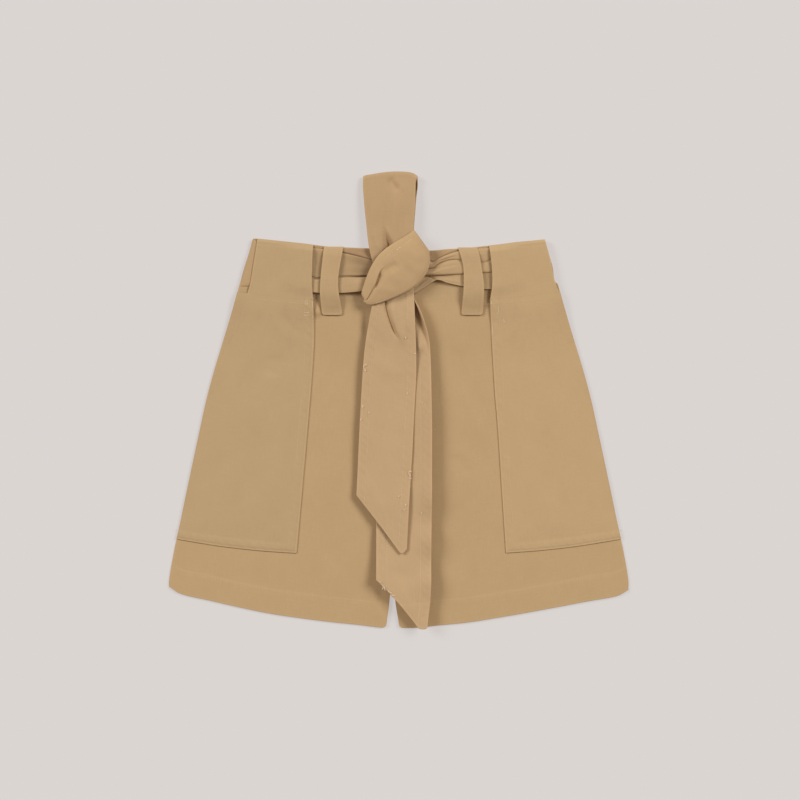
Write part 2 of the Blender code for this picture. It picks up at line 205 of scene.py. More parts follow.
def back_height(x, y):
    climb = (BAND_BACK_Z - LEG_BACK_Z) * rise(x, y)
    off_seam = np.abs(x - inner_x(-1, y))
    seam = 0.2 * bell(off_seam - 5.0, 3.0) - 0.25 * bell(off_seam, 1.2)
    return LEG_BACK_Z + climb + (creased(x, y, BACK_CREASES) + seam) * rise(x, y)


def leg(side, height, inset, u, v):
    """Places a leg panel: u runs from the centre seam out, v from the hem up."""
    hem_x = between(inner_x(side, hem_y(0.0)), side * (side_x(HEM_SIDE_Y) - inset), u)
    top_x = between(inner_x(side, seam_y(0.0)), side * (SEAM_END - inset), u)
    y = between(hem_y(hem_x) + 0.4 * inset, seam_y(top_x) - SEWN, v)
    x = between(inner_x(side, y), side * (side_x(y) - inset), u)
    short = np.maximum(HEM_CORNER - side * (x - inner_x(side, y)), 0.0)
    corner = HEM_CORNER - np.sqrt(HEM_CORNER**2 - short**2)
    y = y + corner * fade(y - hem_y(hem_x), HEM_CORNER_REACH)
    return x, y, height(x, y)


def node(material, kind, inputs=(), **settings):
    """Adds a shader node. Each input is a value, or another node's output to link from."""
    made = material.node_tree.nodes.new("ShaderNode" + kind)
    for name, value in settings.items():
        setattr(made, name, value)
    for key, value in dict(inputs).items():
        if isinstance(value, bpy.types.NodeSocket):
            material.node_tree.links.new(value, made.inputs[key])
        else:
            made.inputs[key].default_value = value
    return made


def added(material, *terms):
    """The sum of 1 and of each (output, weight)."""
    total = 1.0
    for output, weight in terms:
        total = node(material, "Math", {0: output, 1: weight, 2: total}, operation="MULTIPLY_ADD").outputs[0]
    return total


def centred(material, texture):
    """A texture's strength, from 0 to 1, brought down to lie around 0."""
    return node(material, "Math", {0: texture.outputs["Fac"], 1: 0.5}, operation="SUBTRACT").outputs[0]


def dye(material, shader, colour, brightness):
    dyed = node(material, "VectorMath", {0: colour, "Scale": brightness}, operation="SCALE").outputs[0]
    material.node_tree.links.new(dyed, shader.inputs["Base Color"])


def finish(name, settings):
    """A new material and its shader, with numbers and colours set on the shader's own sockets."""
    material = bpy.data.materials.new(name)
    material.use_nodes = True
    shader = material.node_tree.nodes["Principled BSDF"]
    for socket, value in settings.items():
        shader.inputs[socket].default_value = value
    return material, shader


TWILL_FINISH = {
    "Roughness": 0.86,
    "Specular IOR Level": 0.2,
    "Sheen Weight": 0.12,
    "Sheen Roughness": 0.5,
    "Sheen Tint": (1.0, 0.93, 0.82, 1.0),
}


def twill(name, colour, painted_shade=None):
    """Piece-dyed cotton twill: diagonal ribs, uneven yarns both ways, cloudy dye, and paler edges that are
    partly rubbed wear and partly a painted highlight along the rolled edges. The optional darker colour is
    painted shade, which it takes where the piece's own attribute of that name says."""
    material, shader = finish(name, TWILL_FINISH)
    cut = node(material, "UVMap", uv_map="cut").outputs[0]
    slant = {"Vector": cut, "Scale": 640.0, "Distortion": 1.6, "Detail": 2.0, "Detail Scale": 1.3}
    ribs = node(material, "TexWave", slant, wave_type="BANDS", bands_direction="DIAGONAL")
    ribs = centred(material, ribs)
    yarns = []
    for stretch in ((1300.0, 70.0, 1.0), (60.0, 1100.0, 1.0), (38.0, 30.0, 1.0), (420.0, 360.0, 1.0)):
        stretched = node(material, "Mapping", {"Vector": cut, "Scale": stretch}).outputs[0]
        noise = {"Vector": stretched, "Scale": 1.0, "Detail": 2.0, "Roughness": 0.6}
        yarns.append(centred(material, node(material, "TexNoise", noise)))
    warp, weft, cloud, fleck = yarns
    # paler along the turned edges: partly wear, partly a painted highlight
    edge = node(material, "Attribute", attribute_name="edge").outputs["Fac"]
    shades = (ribs, 0.05), (warp, 0.12), (weft, 0.1), (cloud, 0.09), (fleck, 0.05), (edge, 0.1)
    # mixes towards the darker colour, painted shade, where the piece's attribute says
    if painted_shade:
        share = node(material, "Attribute", attribute_name="painted_shade").outputs["Fac"]
        mixed = node(material, "Mix", {0: share, 6: (*colour, 1.0), 7: (*painted_shade, 1.0)}, data_type="RGBA")
        colour = mixed.outputs[2]
    dye(material, shader, colour, added(material, *shades))
    relief = added(material, (ribs, 0.5), (warp, 0.7), (weft, 0.6))
    bump = node(material, "Bump", {"Height": relief, "Strength": 0.35, "Distance": 0.0002})
    material.node_tree.links.new(bump.outputs[0], shader.inputs["Normal"])
    return material


def mesh_of(name, shape):
    mesh = bpy.data.meshes.new(name)
    shape.to_mesh(mesh)
    shape.free()
    return mesh


def stood(name, data):
    """A new object in the scene, for a mesh, a light or a camera."""
    made = bpy.data.objects.new(name, data)
    bpy.context.scene.collection.objects.link(made)
    return made


CLOSE = (0.25, 0.7, 1.4, 2.4)  # from an edge, its first columns, which let it roll
ROUNDED = ((0.5, 0.85), (0.1, 0.45))  # within this of an edge, the share of the wall's thickness


def spaced(share, count, size):
    """Even columns, with close ones along both edges."""
    close = np.array(CLOSE) / size
    even = np.linspace(close[-1], 1 - close[-1], count - 7)
    at = np.concatenate(([0.0], close[:-1], even, 1 - close[-2::-1], [1.0]))
    return np.interp(share, np.linspace(0.0, 1.0, count + 1), at)


def lay(name, place, size, cells, material, wall=CLOTH, turned="lrbt"):
    """Makes a cut piece of cloth from a grid that place(u, v) lays out, in mm. size is its width and length,
    and cells how many faces each has. turned names the edges that are rounded over: left, right, bottom
    and top."""
    grid = bmesh.new()
    bmesh.ops.create_grid(grid, x_segments=cells[0], y_segments=cells[1], size=0.5)
    mesh = mesh_of(name, grid)
    flat = np.empty(len(mesh.vertices) * 3)
    mesh.vertices.foreach_get("co", flat)
    u = spaced(flat[0::3] + 0.5, cells[0], size[0])
    v = spaced(flat[1::3] + 0.5, cells[1], size[1])
    points = np.stack(np.broadcast_arrays(*place(u, v)), axis=1)
    mesh.vertices.foreach_set("co", (MM * points).ravel())
    corner = np.empty(len(mesh.loops), int)
    mesh.loops.foreach_get("vertex_index", corner)
    cut = np.stack((u * size[0], v * size[1]), axis=1)[corner] * MM
    mesh.uv_layers.new(name="cut").data.foreach_set("uv", cut.ravel())
    inward = {"l": u * size[0], "r": (1 - u) * size[0], "b": v * size[1], "t": (1 - v) * size[1]}
    inward = np.min([inward[key] for key in turned], axis=0)
    # nearness to a turned edge, painted paler by the twill: partly wear, partly a painted highlight
    mesh.attributes.new("edge", "FLOAT", "POINT").data.foreach_set("value", bell(inward, 1.3))
    mesh.materials.append(material)
    mesh.shade_smooth()
    piece = stood(name, mesh)
    rounding = piece.vertex_groups.new(name="rounding")
    rounding.add(range(len(mesh.vertices)), 1.0, "REPLACE")
    for reach, thickness in ROUNDED:
        rounding.add([int(i) for i in np.nonzero(inward < reach)[0]], thickness, "REPLACE")
    solid = piece.modifiers.new("wall", "SOLIDIFY")
    solid.thickness = wall * MM
    solid.offset = 0.0
    solid.vertex_group = "rounding"
    rim = piece.modifiers.new("crisp rim", "EDGE_SPLIT")
    rim.split_angle = math.radians(58)
    rim.use_edge_sharp = False
    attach(piece, "root")
    return piece


leg_twill = twill("leg twill", (0.503, 0.330, 0.165))

for side, word in SIDES:
    place = partial(leg, side, back_height, BACK_INSET)
    back = lay(f"back_{word}_panel", place, (205.0, 322.0), (70, 110), leg_twill, turned="rb")
    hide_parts(f"back_{word}")

# ---- Fronts of the legs
# Two panels of the same twill, lying on the backs. The centre seam and the fly are under the belt's
# tails, and the fly's curved stitching shows faintly on the right. Each hem is turned up and stitched.

LEG_FRONT_Z = LEG_BACK_Z + PLY
BAND_FRONT_Z = BAND_BACK_Z + PLY
DOME = 2.0  # how high the loose cloth stands at a leg's middle
ROLL, ROLL_DOWN = 1.8, 0.9  # the strip along the side seam that rolls down over the back, and how far
FRONT_CREASES = (
    (84, 22, 86, -28, 1, 4.0, -0.35), (85, -136, 86, -178, 1, 4.5, -0.35),
    (57, -58, 73, -78, -1, 5.0, -0.4), (62, -52, 80, -70, -1, 6.0, 0.35),
    (-20, -196, -12, -226, 2, 4.0, -0.45), (-26, -200, -20, -230, 2, 4.5, 0.4),
    (-52, 88, -60, 40, -3, 9.0, 0.5), (-38, 104, -34, 66, -1, 5.0, -1.3),
    (-85.5, 106, -85.5, 88, 0, 4.2, 2.2), (52, 92, 66, 50, 3, 9.0, 0.55), (58, 100, 84, 88, 1, 5.0, 0.35),
    (-72, -20, -62, -90, 4, 13.0, 0.4), (64, 10, 92, -40, 4, 12.0, 0.35),
    (-80, -165, -66, -205, -3, 9.0, 0.35), (40, -150, 56, -215, 3, 11.0, 0.4),
    (-112, 40, -150, -30, 7, 14.0, 0.45), (150, 30, 176, -60, -6, 15.0, 0.4),
    (-160, -60, -196, -140, 6, 14.0, 0.4),
)


def swell(x, y, start):
    """The slow unevenness of cloth that lies loose, about 0.5 mm up and down."""
    slow = np.sin(x / 41.0 + start) * np.cos(y / 57.0 - 2.0 * start)
    quick = np.sin((x + 1.3 * y) / 33.0 + 3.0 * start) * np.cos((y - 0.7 * x) / 27.0 + start)
    return 0.32 * slow + 0.16 * quick


def front_height(x, y):
    across = np.minimum(np.abs(x) / side_x(y), 1.0)
    up = np.clip((y - hem_y(x)) / (seam_y(x) - hem_y(x)), 0.0, 1.0)
    loose = np.sin(math.pi * up) * (1 - across**2)
    settled = LEG_FRONT_Z + (BAND_FRONT_Z - LEG_FRONT_Z) * rise(x, y) + DOME * loose
    seamed = -ROLL_DOWN * fade(side_x(y) - np.abs(x), ROLL)
    soft = swell(x, y, 0.7) * ease(4 * loose) + creased(x, y, FRONT_CREASES) * ease((seam_y(x) - y) / 14.0)
    return settled + soft + hem(x, y) + seamed


Stitch = namedtuple("Stitch", "pitch length width height")
STITCH = Stitch(3.0, 2.2, 0.62, 0.36)


def thread(name, colour):
    """Spun sewing thread, a shade lighter than the cloth, with the slant of its twist."""
    material, shader = finish(name, {"Roughness": 0.7, "Sheen Weight": 0.1})
    place = node(material, "TexCoord").outputs["Object"]
    twist = node(material, "TexWave", {"Vector": place, "Scale": 900.0}, bands_direction="DIAGONAL")
    dye(material, shader, colour, added(material, (centred(material, twist), 0.16)))
    return material


def run_along(points):
    """How far along its line each point lies."""
    return np.concatenate(([0.0], np.cumsum(np.linalg.norm(np.diff(points, axis=0), axis=1))))


def sew(name, rows, material, stitch=STITCH):
    """Rows of stitches along lines of points in mm on the cloth's face: one stitch, repeated in one mesh."""
    one = bmesh.new()
    bmesh.ops.create_uvsphere(one, u_segments=6, v_segments=4, radius=0.5)
    shape = np.array([vert.co for vert in one.verts]) * (stitch.length, stitch.width, stitch.height)
    faces = np.array([[vert.index for vert in (*face.verts, face.verts[0])][:4] for face in one.faces])
    one.free()
    laid = []
    for row in rows:
        run = run_along(row)
        for k in range(int(run[-1] / stitch.pitch + 0.01)):
            middle = (k + 0.5) * stitch.pitch
            here, ahead = (
                np.array([np.interp(at, run, row[:, axis]) for axis in range(3)])
                for at in (middle - 0.4 * stitch.pitch, middle + 0.4 * stitch.pitch)
            )
            turn = np.array(Vector(ahead - here).to_track_quat("X", "Z").to_matrix())
            laid.append(0.5 * (here + ahead) + shape @ turn.T)
    mesh = bpy.data.meshes.new(name)
    every = (faces[None] + len(shape) * np.arange(len(laid))[:, None, None]).reshape(-1, 4).tolist()
    mesh.from_pydata((MM * np.concatenate(laid)).tolist(), [], [list(dict.fromkeys(face)) for face in every])
    mesh.materials.append(material)
    mesh.shade_smooth()
    piece = stood(name, mesh)
    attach(piece, "root")
    return piece


def line_on(height, x, y):
    """Points every millimetre or so along the line through x, y, on the face of the cloth at height(x, y)."""
    run = run_along(np.stack((x, y), axis=1))
    at = np.linspace(0.0, run[-1], max(int(run[-1]), 2))
    x, y = np.interp(at, run, x), np.interp(at, run, y)
    return np.stack((x, y, height(x, y) + 0.5 * CLOTH), axis=1)


leg_thread = thread("leg thread", (0.57, 0.39, 0.205))
FLY = ((47.0, 100.5), (46.0, 60.0), (44.5, 20.0), (42.0, -16.0), (36.0, -38.0), (24.0, -54.0), (8.0, -62.0))

for side, word in SIDES:
    place = partial(leg, side, front_height, 0.0)
    front = lay(f"front_{word}_panel", place, (207.0, 322.0), (104, 170), leg_twill, turned="rb")
    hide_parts(f"front_{word}")
    across = side * np.linspace(17.0, 236.0, 200)
    rows = [line_on(front_height, across, hem_y(across) + HEM_DEPTH)]
    if side > 0:
        rows.append(line_on(front_height, *np.transpose(FLY)))
    stitching = sew(f"front_{word}_stitching", rows, leg_thread)

# ---- Patch pockets
# A large pocket on each front, from the side panel down, with its side sewn into the leg's side seam.
# Its inner and lower edges are turned under 9 mm and sewn with two rows, with tacks at the inner corner.

pocket_side = {
    -1: curve(
        (-161, -107.2), (-100, -101.8), (-74, -99.5), (-48, -97.2), (-21, -94.9), (5, -92.6), (57, -89.1),
        (84, -89.1), (110, -90),
    ),
    1: curve((-161, 112.5), (-80, 107.2), (-48, 105.2), (-15, 102.8), (5, 101.0), (70, 97.2), (110, 95.6)),
}
pocket_end = curve((108, -161.4), (146, -158.6), (184, -154.4), (210, -150.4), (234, -146.5))
POCKET_LOW, POCKET_LOW_OUT, POCKET_HIGH = -161.0, -146.6, 110.0  # the y of three corners
POCKET_TURN = 9.2
POCKET_ROWS = (1.5, POCKET_TURN)
PANEL_Z = 7.0
CORNER_LIFT, CORNER_REACH = 1.2, 46.0  # the pocket's upper inner corner, below the belt's lower edge
POCKET_CREASES = (
    (-124, 92, -99, 66, 2, 4.0, -0.4), (-130, 84, -106, 58, 2, 5.0, 0.4), (-112, 98, -94, 82, 1, 3.5, 0.3),
    (-128, 46, -132, 24, 2, 12.0, -0.7), (-150, 60, -196, -60, 6, 16.0, 0.5),
    (-128, -60, -150, -128, -5, 14.0, 0.45), (128, 84, 108, 58, -2, 5.0, 0.35),
    (138, 40, 150, -40, 5, 14.0, 0.5), (190, 0, 205, -96, -5, 14.0, 0.45),
    (150, -96, 170, -146, 4, 12.0, 0.4),
)


def turned_under(inward):
    """The step down from the turned edge, which is doubled, to the single ply inside it."""
    return 0.38 * fade(inward - POCKET_TURN + 0.8, 1.8)


def pocket_height(side, x, y):
    top = seam_y(x)
    climb = (PANEL_Z - BAND_FRONT_Z - PLY) * ease((y - top + 34.0) / 34.0)
    corner = fade(side * (x - pocket_side[side](y)), CORNER_REACH) * ease((y - top + 26.0) / 26.0)
    climb = climb + CORNER_LIFT * corner
    inward = np.minimum(side * (x - pocket_side[side](y)), y - pocket_end(np.abs(x)))
    doubled = turned_under(inward)
    channels = sum(-0.34 * bell(inward - row, 0.7) for row in POCKET_ROWS) - 0.08 * bell(top - y, 3.0)
    channels = channels - 0.45 * fade(inward, 3.0)
    puckers = 0.16 * puckered(x + y, 1.45, 2.0, 11.0) * bell(inward - 5.5, 3.6)
    loose = ease(np.minimum(inward, side_x(y) - np.abs(x)) / 30.0) * ease((top - y) / 20.0)
    soft = loose * (creased(x, y, POCKET_CREASES) + swell(x, y, 2.1 + side) + 0.8)
    return front_height(x, y) + PLY + climb + doubled + channels + puckers + soft


def pocket(side, u, v):
    """Places a pocket: u runs from its inner edge out, v from its lower edge up."""
    low_x = between(pocket_side[side](POCKET_LOW), side * side_x(POCKET_LOW_OUT), u)
    top_x = between(pocket_side[side](POCKET_HIGH), side * SEAM_END, u)
    y = between(pocket_end(np.abs(low_x)), seam_y(top_x), v)
    x = between(pocket_side[side](y), side * side_x(y), u)
    return x, y, pocket_height(side, x, y)


def pocket_rows(side):
    """The two rows up the inner edge and along the lower one, and the row that holds the top's turn."""
    height = partial(pocket_height, side)
    rows = []
    for inset in POCKET_ROWS:
        up = np.linspace(96.0, POCKET_LOW + inset, 60)
        edge_x = pocket_side[side](up) + side * inset
        out = np.linspace(abs(edge_x[-1]), 236.0, 40)
        x = np.concatenate((edge_x[:-1], side * out))
        rows.append(line_on(height, x, np.concatenate((up[:-1], pocket_end(out) + inset))))
    along = side * np.linspace(92.0, 150.0, 60)
    rows.append(line_on(height, along, seam_y(along) - 5.0))
    return rows


POCKET_TACKS = {  # close stitches at the inner corner, each from one (mm in from the edge, y) to another
    -1: (
        ((5, 91.2), (11, 90.9)), ((5, 88.4), (11, 88.1)), ((8.0, 104), (8.3, 97.5)),
        ((6.6, 103), (6.8, 98.5)), ((0.9, 103), (1.0, 96)), ((0.8, 88), (0.8, 84)),
    ),
    1: (
        ((8.2, 97.5), (8.4, 90.5)), ((6.2, 90.4), (9.4, 90.2)), ((2.0, 76), (2.2, 69)),
        ((13.0, 84), (15.0, 81)), ((1.0, 103), (1.1, 98)),
    ),
}


def pocket_tacks(side):
    ends = np.array(POCKET_TACKS[side], float)
    from_edge, y = ends[..., 0], ends[..., 1]
    x = pocket_side[side](90.0) + side * from_edge
    return [line_on(partial(pocket_height, side), *tack) for tack in zip(x, y)]


pocket_twills_lit_and_shaded = {  # painted light and shade: the right side painted lighter than the left, for how the light falls on each
    -1: twill("left pocket twill painted shade", (0.492, 0.331, 0.171)),
    1: twill("right pocket twill painted light", (0.519, 0.345, 0.176)),
}
pocket_thread = thread("pocket thread", (0.60, 0.42, 0.232))
tack_thread = thread("tack thread", (0.76, 0.585, 0.37))
TACK = Stitch(1.7, 1.5, 0.75, 0.5)

for side, word in SIDES:
    place = partial(pocket, side)
    patch = lay(f"pocket_{word}_patch", place, (128.0, 256.0), (84, 150), pocket_twills_lit_and_shaded[side], turned="lb")
    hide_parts(f"pocket_{word}")
    stitching = sew(f"pocket_{word}_stitching", pocket_rows(side), pocket_thread)
    tacks = sew(f"pocket_{word}_tacks", pocket_tacks(side), tack_thread, TACK)

# ---- Waistband
# A straight band round the waist, doubled and edge-stitched at its top: one piece at the back and two at
# the front, which meet over the fly. The belt covers most of it, and it shows between belt, loops and bow.

BAND_INSET = 3.2  # the ends, in from the belt's fold round the side
TOP_ROW = 2.2  # the edge-stitching, down from the top
BELT_CLEARS = 8.0  # from its seam up to the belt, the band reaches the side
PUFF = {-1: 1.9, 1: 1.1}  # how far it swells over the belt's upper edge
belt_top = {  # the belt's upper edge on its way to the knot
    -1: curve(
        (-122, 161), (-103, 160), (-86, 158.4), (-70, 156), (-57.5, 153.5), (-43, 150.2), (-29, 146.5),
        (-12, 143),
    ),
    1: curve(
        (12, 140), (31, 146.4), (34.5, 144.0), (38.6, 145.4), (43.3, 148.2), (51, 151.8), (61, 155.2),
        (76, 157.6), (90, 158.4), (122, 161),
    ),
}


def puffed(side, x, y):
    """How the waistband swells over the belt's upper edge, which pulls it in."""
    over = y - belt_top[side](x)
    reach = ease((np.abs(x) - 24.0) / 5.0) * ease((74.0 - np.abs(x)) / 12.0)
    return PUFF[side] * reach * ease((over - 0.2) / 1.1) * (1 - 0.8 * ease((over - 1.4) / 5.0))


def band(start, end, z, u, v):
    """Places a waistband between two shares of the half width."""
    share = between(start, end, u)
    inset = BAND_INSET * ease((v * BAND_DEPTH - BELT_CLEARS) / 5.0)
    low_x, top_x = share * (SEAM_END - inset), share * (WAIST_END - inset)
    y = between(seam_y(low_x), waist_y(top_x), v)
    down = (1 - v) * BAND_DEPTH
    stitched = -0.25 * bell(down - TOP_ROW, 0.7) + 0.1 * np.sin(low_x / 1.4) * bell(down - 4.5, 2.5)
    x = between(low_x, top_x, v)
    if z == BAND_FRONT_Z:
        stitched = stitched + puffed(1 if start > 0 else -1, x, y)
    return x, y, z + stitched


WAIST_SHADOW_REACH = 12.0  # down from the top, painted shade: darker and redder where the band lies recessed above the belt
WAIST_SHADOW_STRENGTH = {-1: 1.0, 1: 0.6}  # how strong that painted shade is on each side


# painted shade on the band's recessed strip below its top, half as strong on the top edge itself
def paint_waist_shadow(share, x, y):
    up = y - waist_y(x)
    return share * ease((up + WAIST_SHADOW_REACH) / 4.0) * (1 - 0.5 * ease(up + TOP_ROW))


def shade_in_paint(piece, shade):
    """Sets how much painted shade, its twill's darker colour, a piece takes, by shade(x, y) in mm."""
    x, y = (np.array([vert.co[axis] for vert in piece.data.vertices]) / MM for axis in (0, 1))
    piece.data.attributes.new("painted_shade", "FLOAT", "POINT").data.foreach_set("value", shade(x, y))


# its darker colour is painted shade for the recessed strip above the belt
waist_twill = twill("waist twill", (0.490, 0.325, 0.164), painted_shade=(0.380, 0.228, 0.117))
waist_thread = thread("waist thread", (0.58, 0.405, 0.215))
place = partial(band, -1.0, 1.0, BAND_BACK_Z)
back_band = lay("waistband_back_band", place, (321.0, BAND_DEPTH), (110, 24), waist_twill)
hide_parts("waistband_back")

for side, word in SIDES:
    middle = 0.5 * GAP / WAIST_END
    ends = (-1.0, -middle) if side < 0 else (middle, 1.0)
    place = partial(band, *ends, BAND_FRONT_Z)
    name = f"waistband_front_{word}_band"
    front_band = lay(name, place, (160.0, BAND_DEPTH), (90, 92), waist_twill, turned="lrt")
    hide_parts(f"waistband_front_{word}")
    shade_in_paint(front_band, partial(paint_waist_shadow, WAIST_SHADOW_STRENGTH[side]))
    along = side * np.linspace(14.0, 92.0, 60)
    rows = [line_on(lambda x, y: BAND_FRONT_Z - 0.2 + 0 * x, along, waist_y(along) - TOP_ROW)]
    if side > 0:  # the lower row shows beside the tails
        along = np.linspace(43.5, 53.5, 10)
        rows.append(line_on(lambda x, y: BAND_FRONT_Z + 0.1 + 0 * x, along, seam_y(along) + 0.2))
    stitching = sew(f"waistband_{word}_stitching", rows, waist_thread)

# ---- Side panels
# A panel over each side of the waist, sewn to the pocket below and to the waistband's top. Its upright
# edges are free, and the belt runs under it, which lifts its inner edge.

panel_inner = {
    -1: curve((106, -89.8), (122, -91), (146, -90.5), (168, -89.4)),
    1: curve((106, 96.0), (122, 98), (146, 96.8), (168, 93.6)),
}
panel_outer = {
    -1: curve((106, -160.6), (113, -158.4), (121, -156.0), (141, -152.6), (152, -150.8), (168, -148.2)),
    1: curve((106, 170.8), (112, 168.4), (121, 164.8), (131, 162.0), (146, 159.2), (168, 153.3)),
}
PANEL_TURN = 3.0  # the strip along the top that turns down to the waistband
PANEL_LIFT = 3.0  # over the belt, at the inner edge
PANEL_CORNER_Z = 0.6  # its upper inner corner is pressed down on the waistband
PANEL_LOW, PANEL_HIGH = 106.0, 168.0
PANEL_CREASES = (
    (-112, 158, -118, 118, 2, 8.0, 0.35), (-136, 120, -120, 152, 2, 10.0, -0.3),
    (118, 156, 128, 120, -2, 8.0, 0.35), (146, 124, 138, 158, 2, 9.0, 0.3),
)


def panel(side, u, v):
    """Places a side panel: u runs from its inner edge out, v from its seam with the pocket up."""
    low_x, top_x = (between(panel_inner[side](y), panel_outer[side](y), u) for y in (PANEL_LOW, PANEL_HIGH))
    y = between(seam_y(low_x) + SEWN, waist_y(top_x), v)
    x = between(panel_inner[side](y), panel_outer[side](y), u)
    up, down = y - seam_y(x), waist_y(x) - y
    inward, outward = side * (x - panel_inner[side](y)), side * (panel_outer[side](y) - x)
    over_band = between(PANEL_CORNER_Z, PLY, ease(inward / 12.0))
    turned = (PANEL_Z - BAND_FRONT_Z - over_band) * ease(1 - down / PANEL_TURN)
    lift = between(CORNER_LIFT, PANEL_LIFT, ease(up / 15.0)) * fade(inward, CORNER_REACH)
    lift = lift * ease((down - 1.0) / 6.0)
    doubled = turned_under(inward) - 0.28 * fade(inward, 3.0)
    stitched = -0.2 * bell(down - 5.0, 0.7)
    crease = creased(x, y, PANEL_CREASES) * ease(up / 12.0) * ease(down / 12.0)
    crease = crease - 0.8 * fade(outward, 6.0) * fade(up, 9.0)
    return x, y, PANEL_Z - turned + lift + doubled + stitched + crease


for side, word in SIDES:
    place = partial(panel, side)
    name = f"side_panel_{word}_cloth"
    panel_piece = lay(name, place, (66.0, 58.0), (60, 52), pocket_twills_lit_and_shaded[side], turned="lr")
    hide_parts(f"side_panel_{word}")

# ---- Belt, round the back and the sides
# A doubled band of the same twill, 57 mm wide. It passes under the loop at the centre back, folds round
# each side of the waistband and comes forward under the side panels.

BELT_BACK_Z = BAND_BACK_Z - PLY
BELT_FRONT_Z = BAND_FRONT_Z + PLY
SIDE_RUN_FRONT, SIDE_RUN_BACK = 50.0, 42.0
SIDE_LOW_Y, SIDE_HIGH_Y = 119.0, 158.7
SIDE_TOP_Y = 169.4  # the fold stands up to the corner of the waist
SIDE_ROLL = 8.0  # how far in from the side the fold starts
TURN_FROM, TURN_TO = 0.36, 0.6  # the shares of the run where it folds round the side
BACK_LOW_Y, BACK_HIGH_Y = 103.6, 151.6  # the run's edges at the centre back
SIDE_NIP = {-1: 0.0, 1: 2.2}  # on the right the belt draws the side in
SIDE_OVER = {-1: 0.6, 1: -0.5}  # how far the fold stands over the waist's corner


def back_run(u, v):
    """Places the run across the back, which dips in the middle."""
    share = between(-1.0, 1.0, u)
    edge = ease((np.abs(share) - 0.3) / 0.7)
    y = between(between(BACK_LOW_Y, SIDE_LOW_Y, edge), between(BACK_HIGH_Y, SIDE_HIGH_Y, edge), v)
    fold = 0.12 * bell(v - between(0.55, 0.45, np.abs(share)), 0.05)
    return share * (side_x(y) - SIDE_RUN_BACK - GAP), y, BELT_BACK_Z - fold


def side_run(side, u, v):
    """Places a run round a side: u goes from under the back, round the fold, to under the side panel."""
    radius = 0.5 * (BELT_FRONT_Z - BELT_BACK_Z)
    centre = 0.5 * CLOTH + SIDE_ROLL
    behind, before = u / TURN_FROM, (u - TURN_TO) / (1 - TURN_TO)
    turn = math.pi * np.clip((u - TURN_FROM) / (TURN_TO - TURN_FROM), 0.0, 1.0)
    inset = np.where(behind < 1, between(SIDE_RUN_BACK, centre, np.minimum(behind, 1)), centre)
    inset = np.where(before > 0, between(centre, SIDE_RUN_FRONT, np.maximum(before, 0)), inset)
    inset = inset - SIDE_ROLL * np.sin(turn) ** 0.8
    y = between(SIDE_LOW_Y, between(SIDE_HIGH_Y, SIDE_TOP_Y, ease((u - 0.3) / 0.12)), v)
    y = np.minimum(y, waist_y(side_x(y) - inset) + SIDE_OVER[side] - 1.6 * ease((u - 0.5) / 0.1))
    bend = 0.2 * np.sin(turn) * np.cos(v * 9.0) + SIDE_NIP[side] * bell(y - 125.0, 11.0)
    pressed = 0.55 * ease((u - 0.5) / 0.1) * fade(v * 40.0, 2.6)
    return side * (side_x(y) - inset - bend), y, BELT_BACK_Z + radius * (1 - np.cos(turn)) - pressed


belt_twill = twill("belt twill", (0.524, 0.346, 0.184))
# the belt's twill painted darker, painted shade for the runs' recess, and its darker colour more painted
# shade
shaded_belt_twill = twill("belt band twill painted shade", (0.484, 0.318, 0.163), painted_shade=(0.335, 0.212, 0.107))
belt_back = lay("belt_back_run", back_run, (255.0, 42.0), (100, 24), shaded_belt_twill)
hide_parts("belt_back")

for side, word in SIDES:
    place = partial(side_run, side)
    round_side = lay(f"belt_side_{word}_run", place, (96.0, 40.0), (90, 26), shaded_belt_twill)
    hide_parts(f"belt_side_{word}")

# ---- Belt loops
# Three strips, each folded to 20 mm and sewn at both ends: one on each front and one at the centre back.
# They stand over the belt between their ends. The front ones' lower corners are rounded.

Loop = namedtuple("Loop", "word side top middle width")
LOOP_WALL = 1.5
LOOP_STAND = 10.7  # over the belt
LOOP_FOOT, LOOP_CORNER = 88.4, 3.6  # a front loop's lower end, and how far up its corners are rounded
BACK_LOOP_WIDTH, BACK_LOOP_FOOT, BACK_LOOP_TOP = 20.0, 89.0, 159.2
LOOP_TOP_Z = BAND_FRONT_Z + PLY
left_middle = curve((89, -69.8), (120, -73), (160, -68.4))
left_width = curve((89, 21.6), (104, 20.6), (125, 18.6), (160, 20.4))
right_middle = curve((89, 76.9), (118, 78.7), (138, 77.3), (150, 74.9), (160, 71.9))
right_width = curve((89, 22.8), (118, 21.4), (138, 19.4), (160, 20.4))
LOOPS = (
    Loop("left", -1, 160.4, left_middle, left_width),
    Loop("right", 1, 159.4, right_middle, right_width),
)
loop_lift = curve(
    (88.4, 0.02), (91, 0.04), (95, 0.16), (99, 0.36), (103, 0.58), (107, 0.78), (111, 0.93), (116, 1.0),
    (125, 0.98), (132, 0.86), (142, 0.74), (152, 0.62), (157.5, 0.25), (160, 0.0),
)
back_loop_lift = curve(
    (89, 0), (95.5, 0.1), (101.5, 1.0), (110, 1.0), (130, 1.0), (153, 1.0), (157, 0.1), (159.2, 0.0)
)


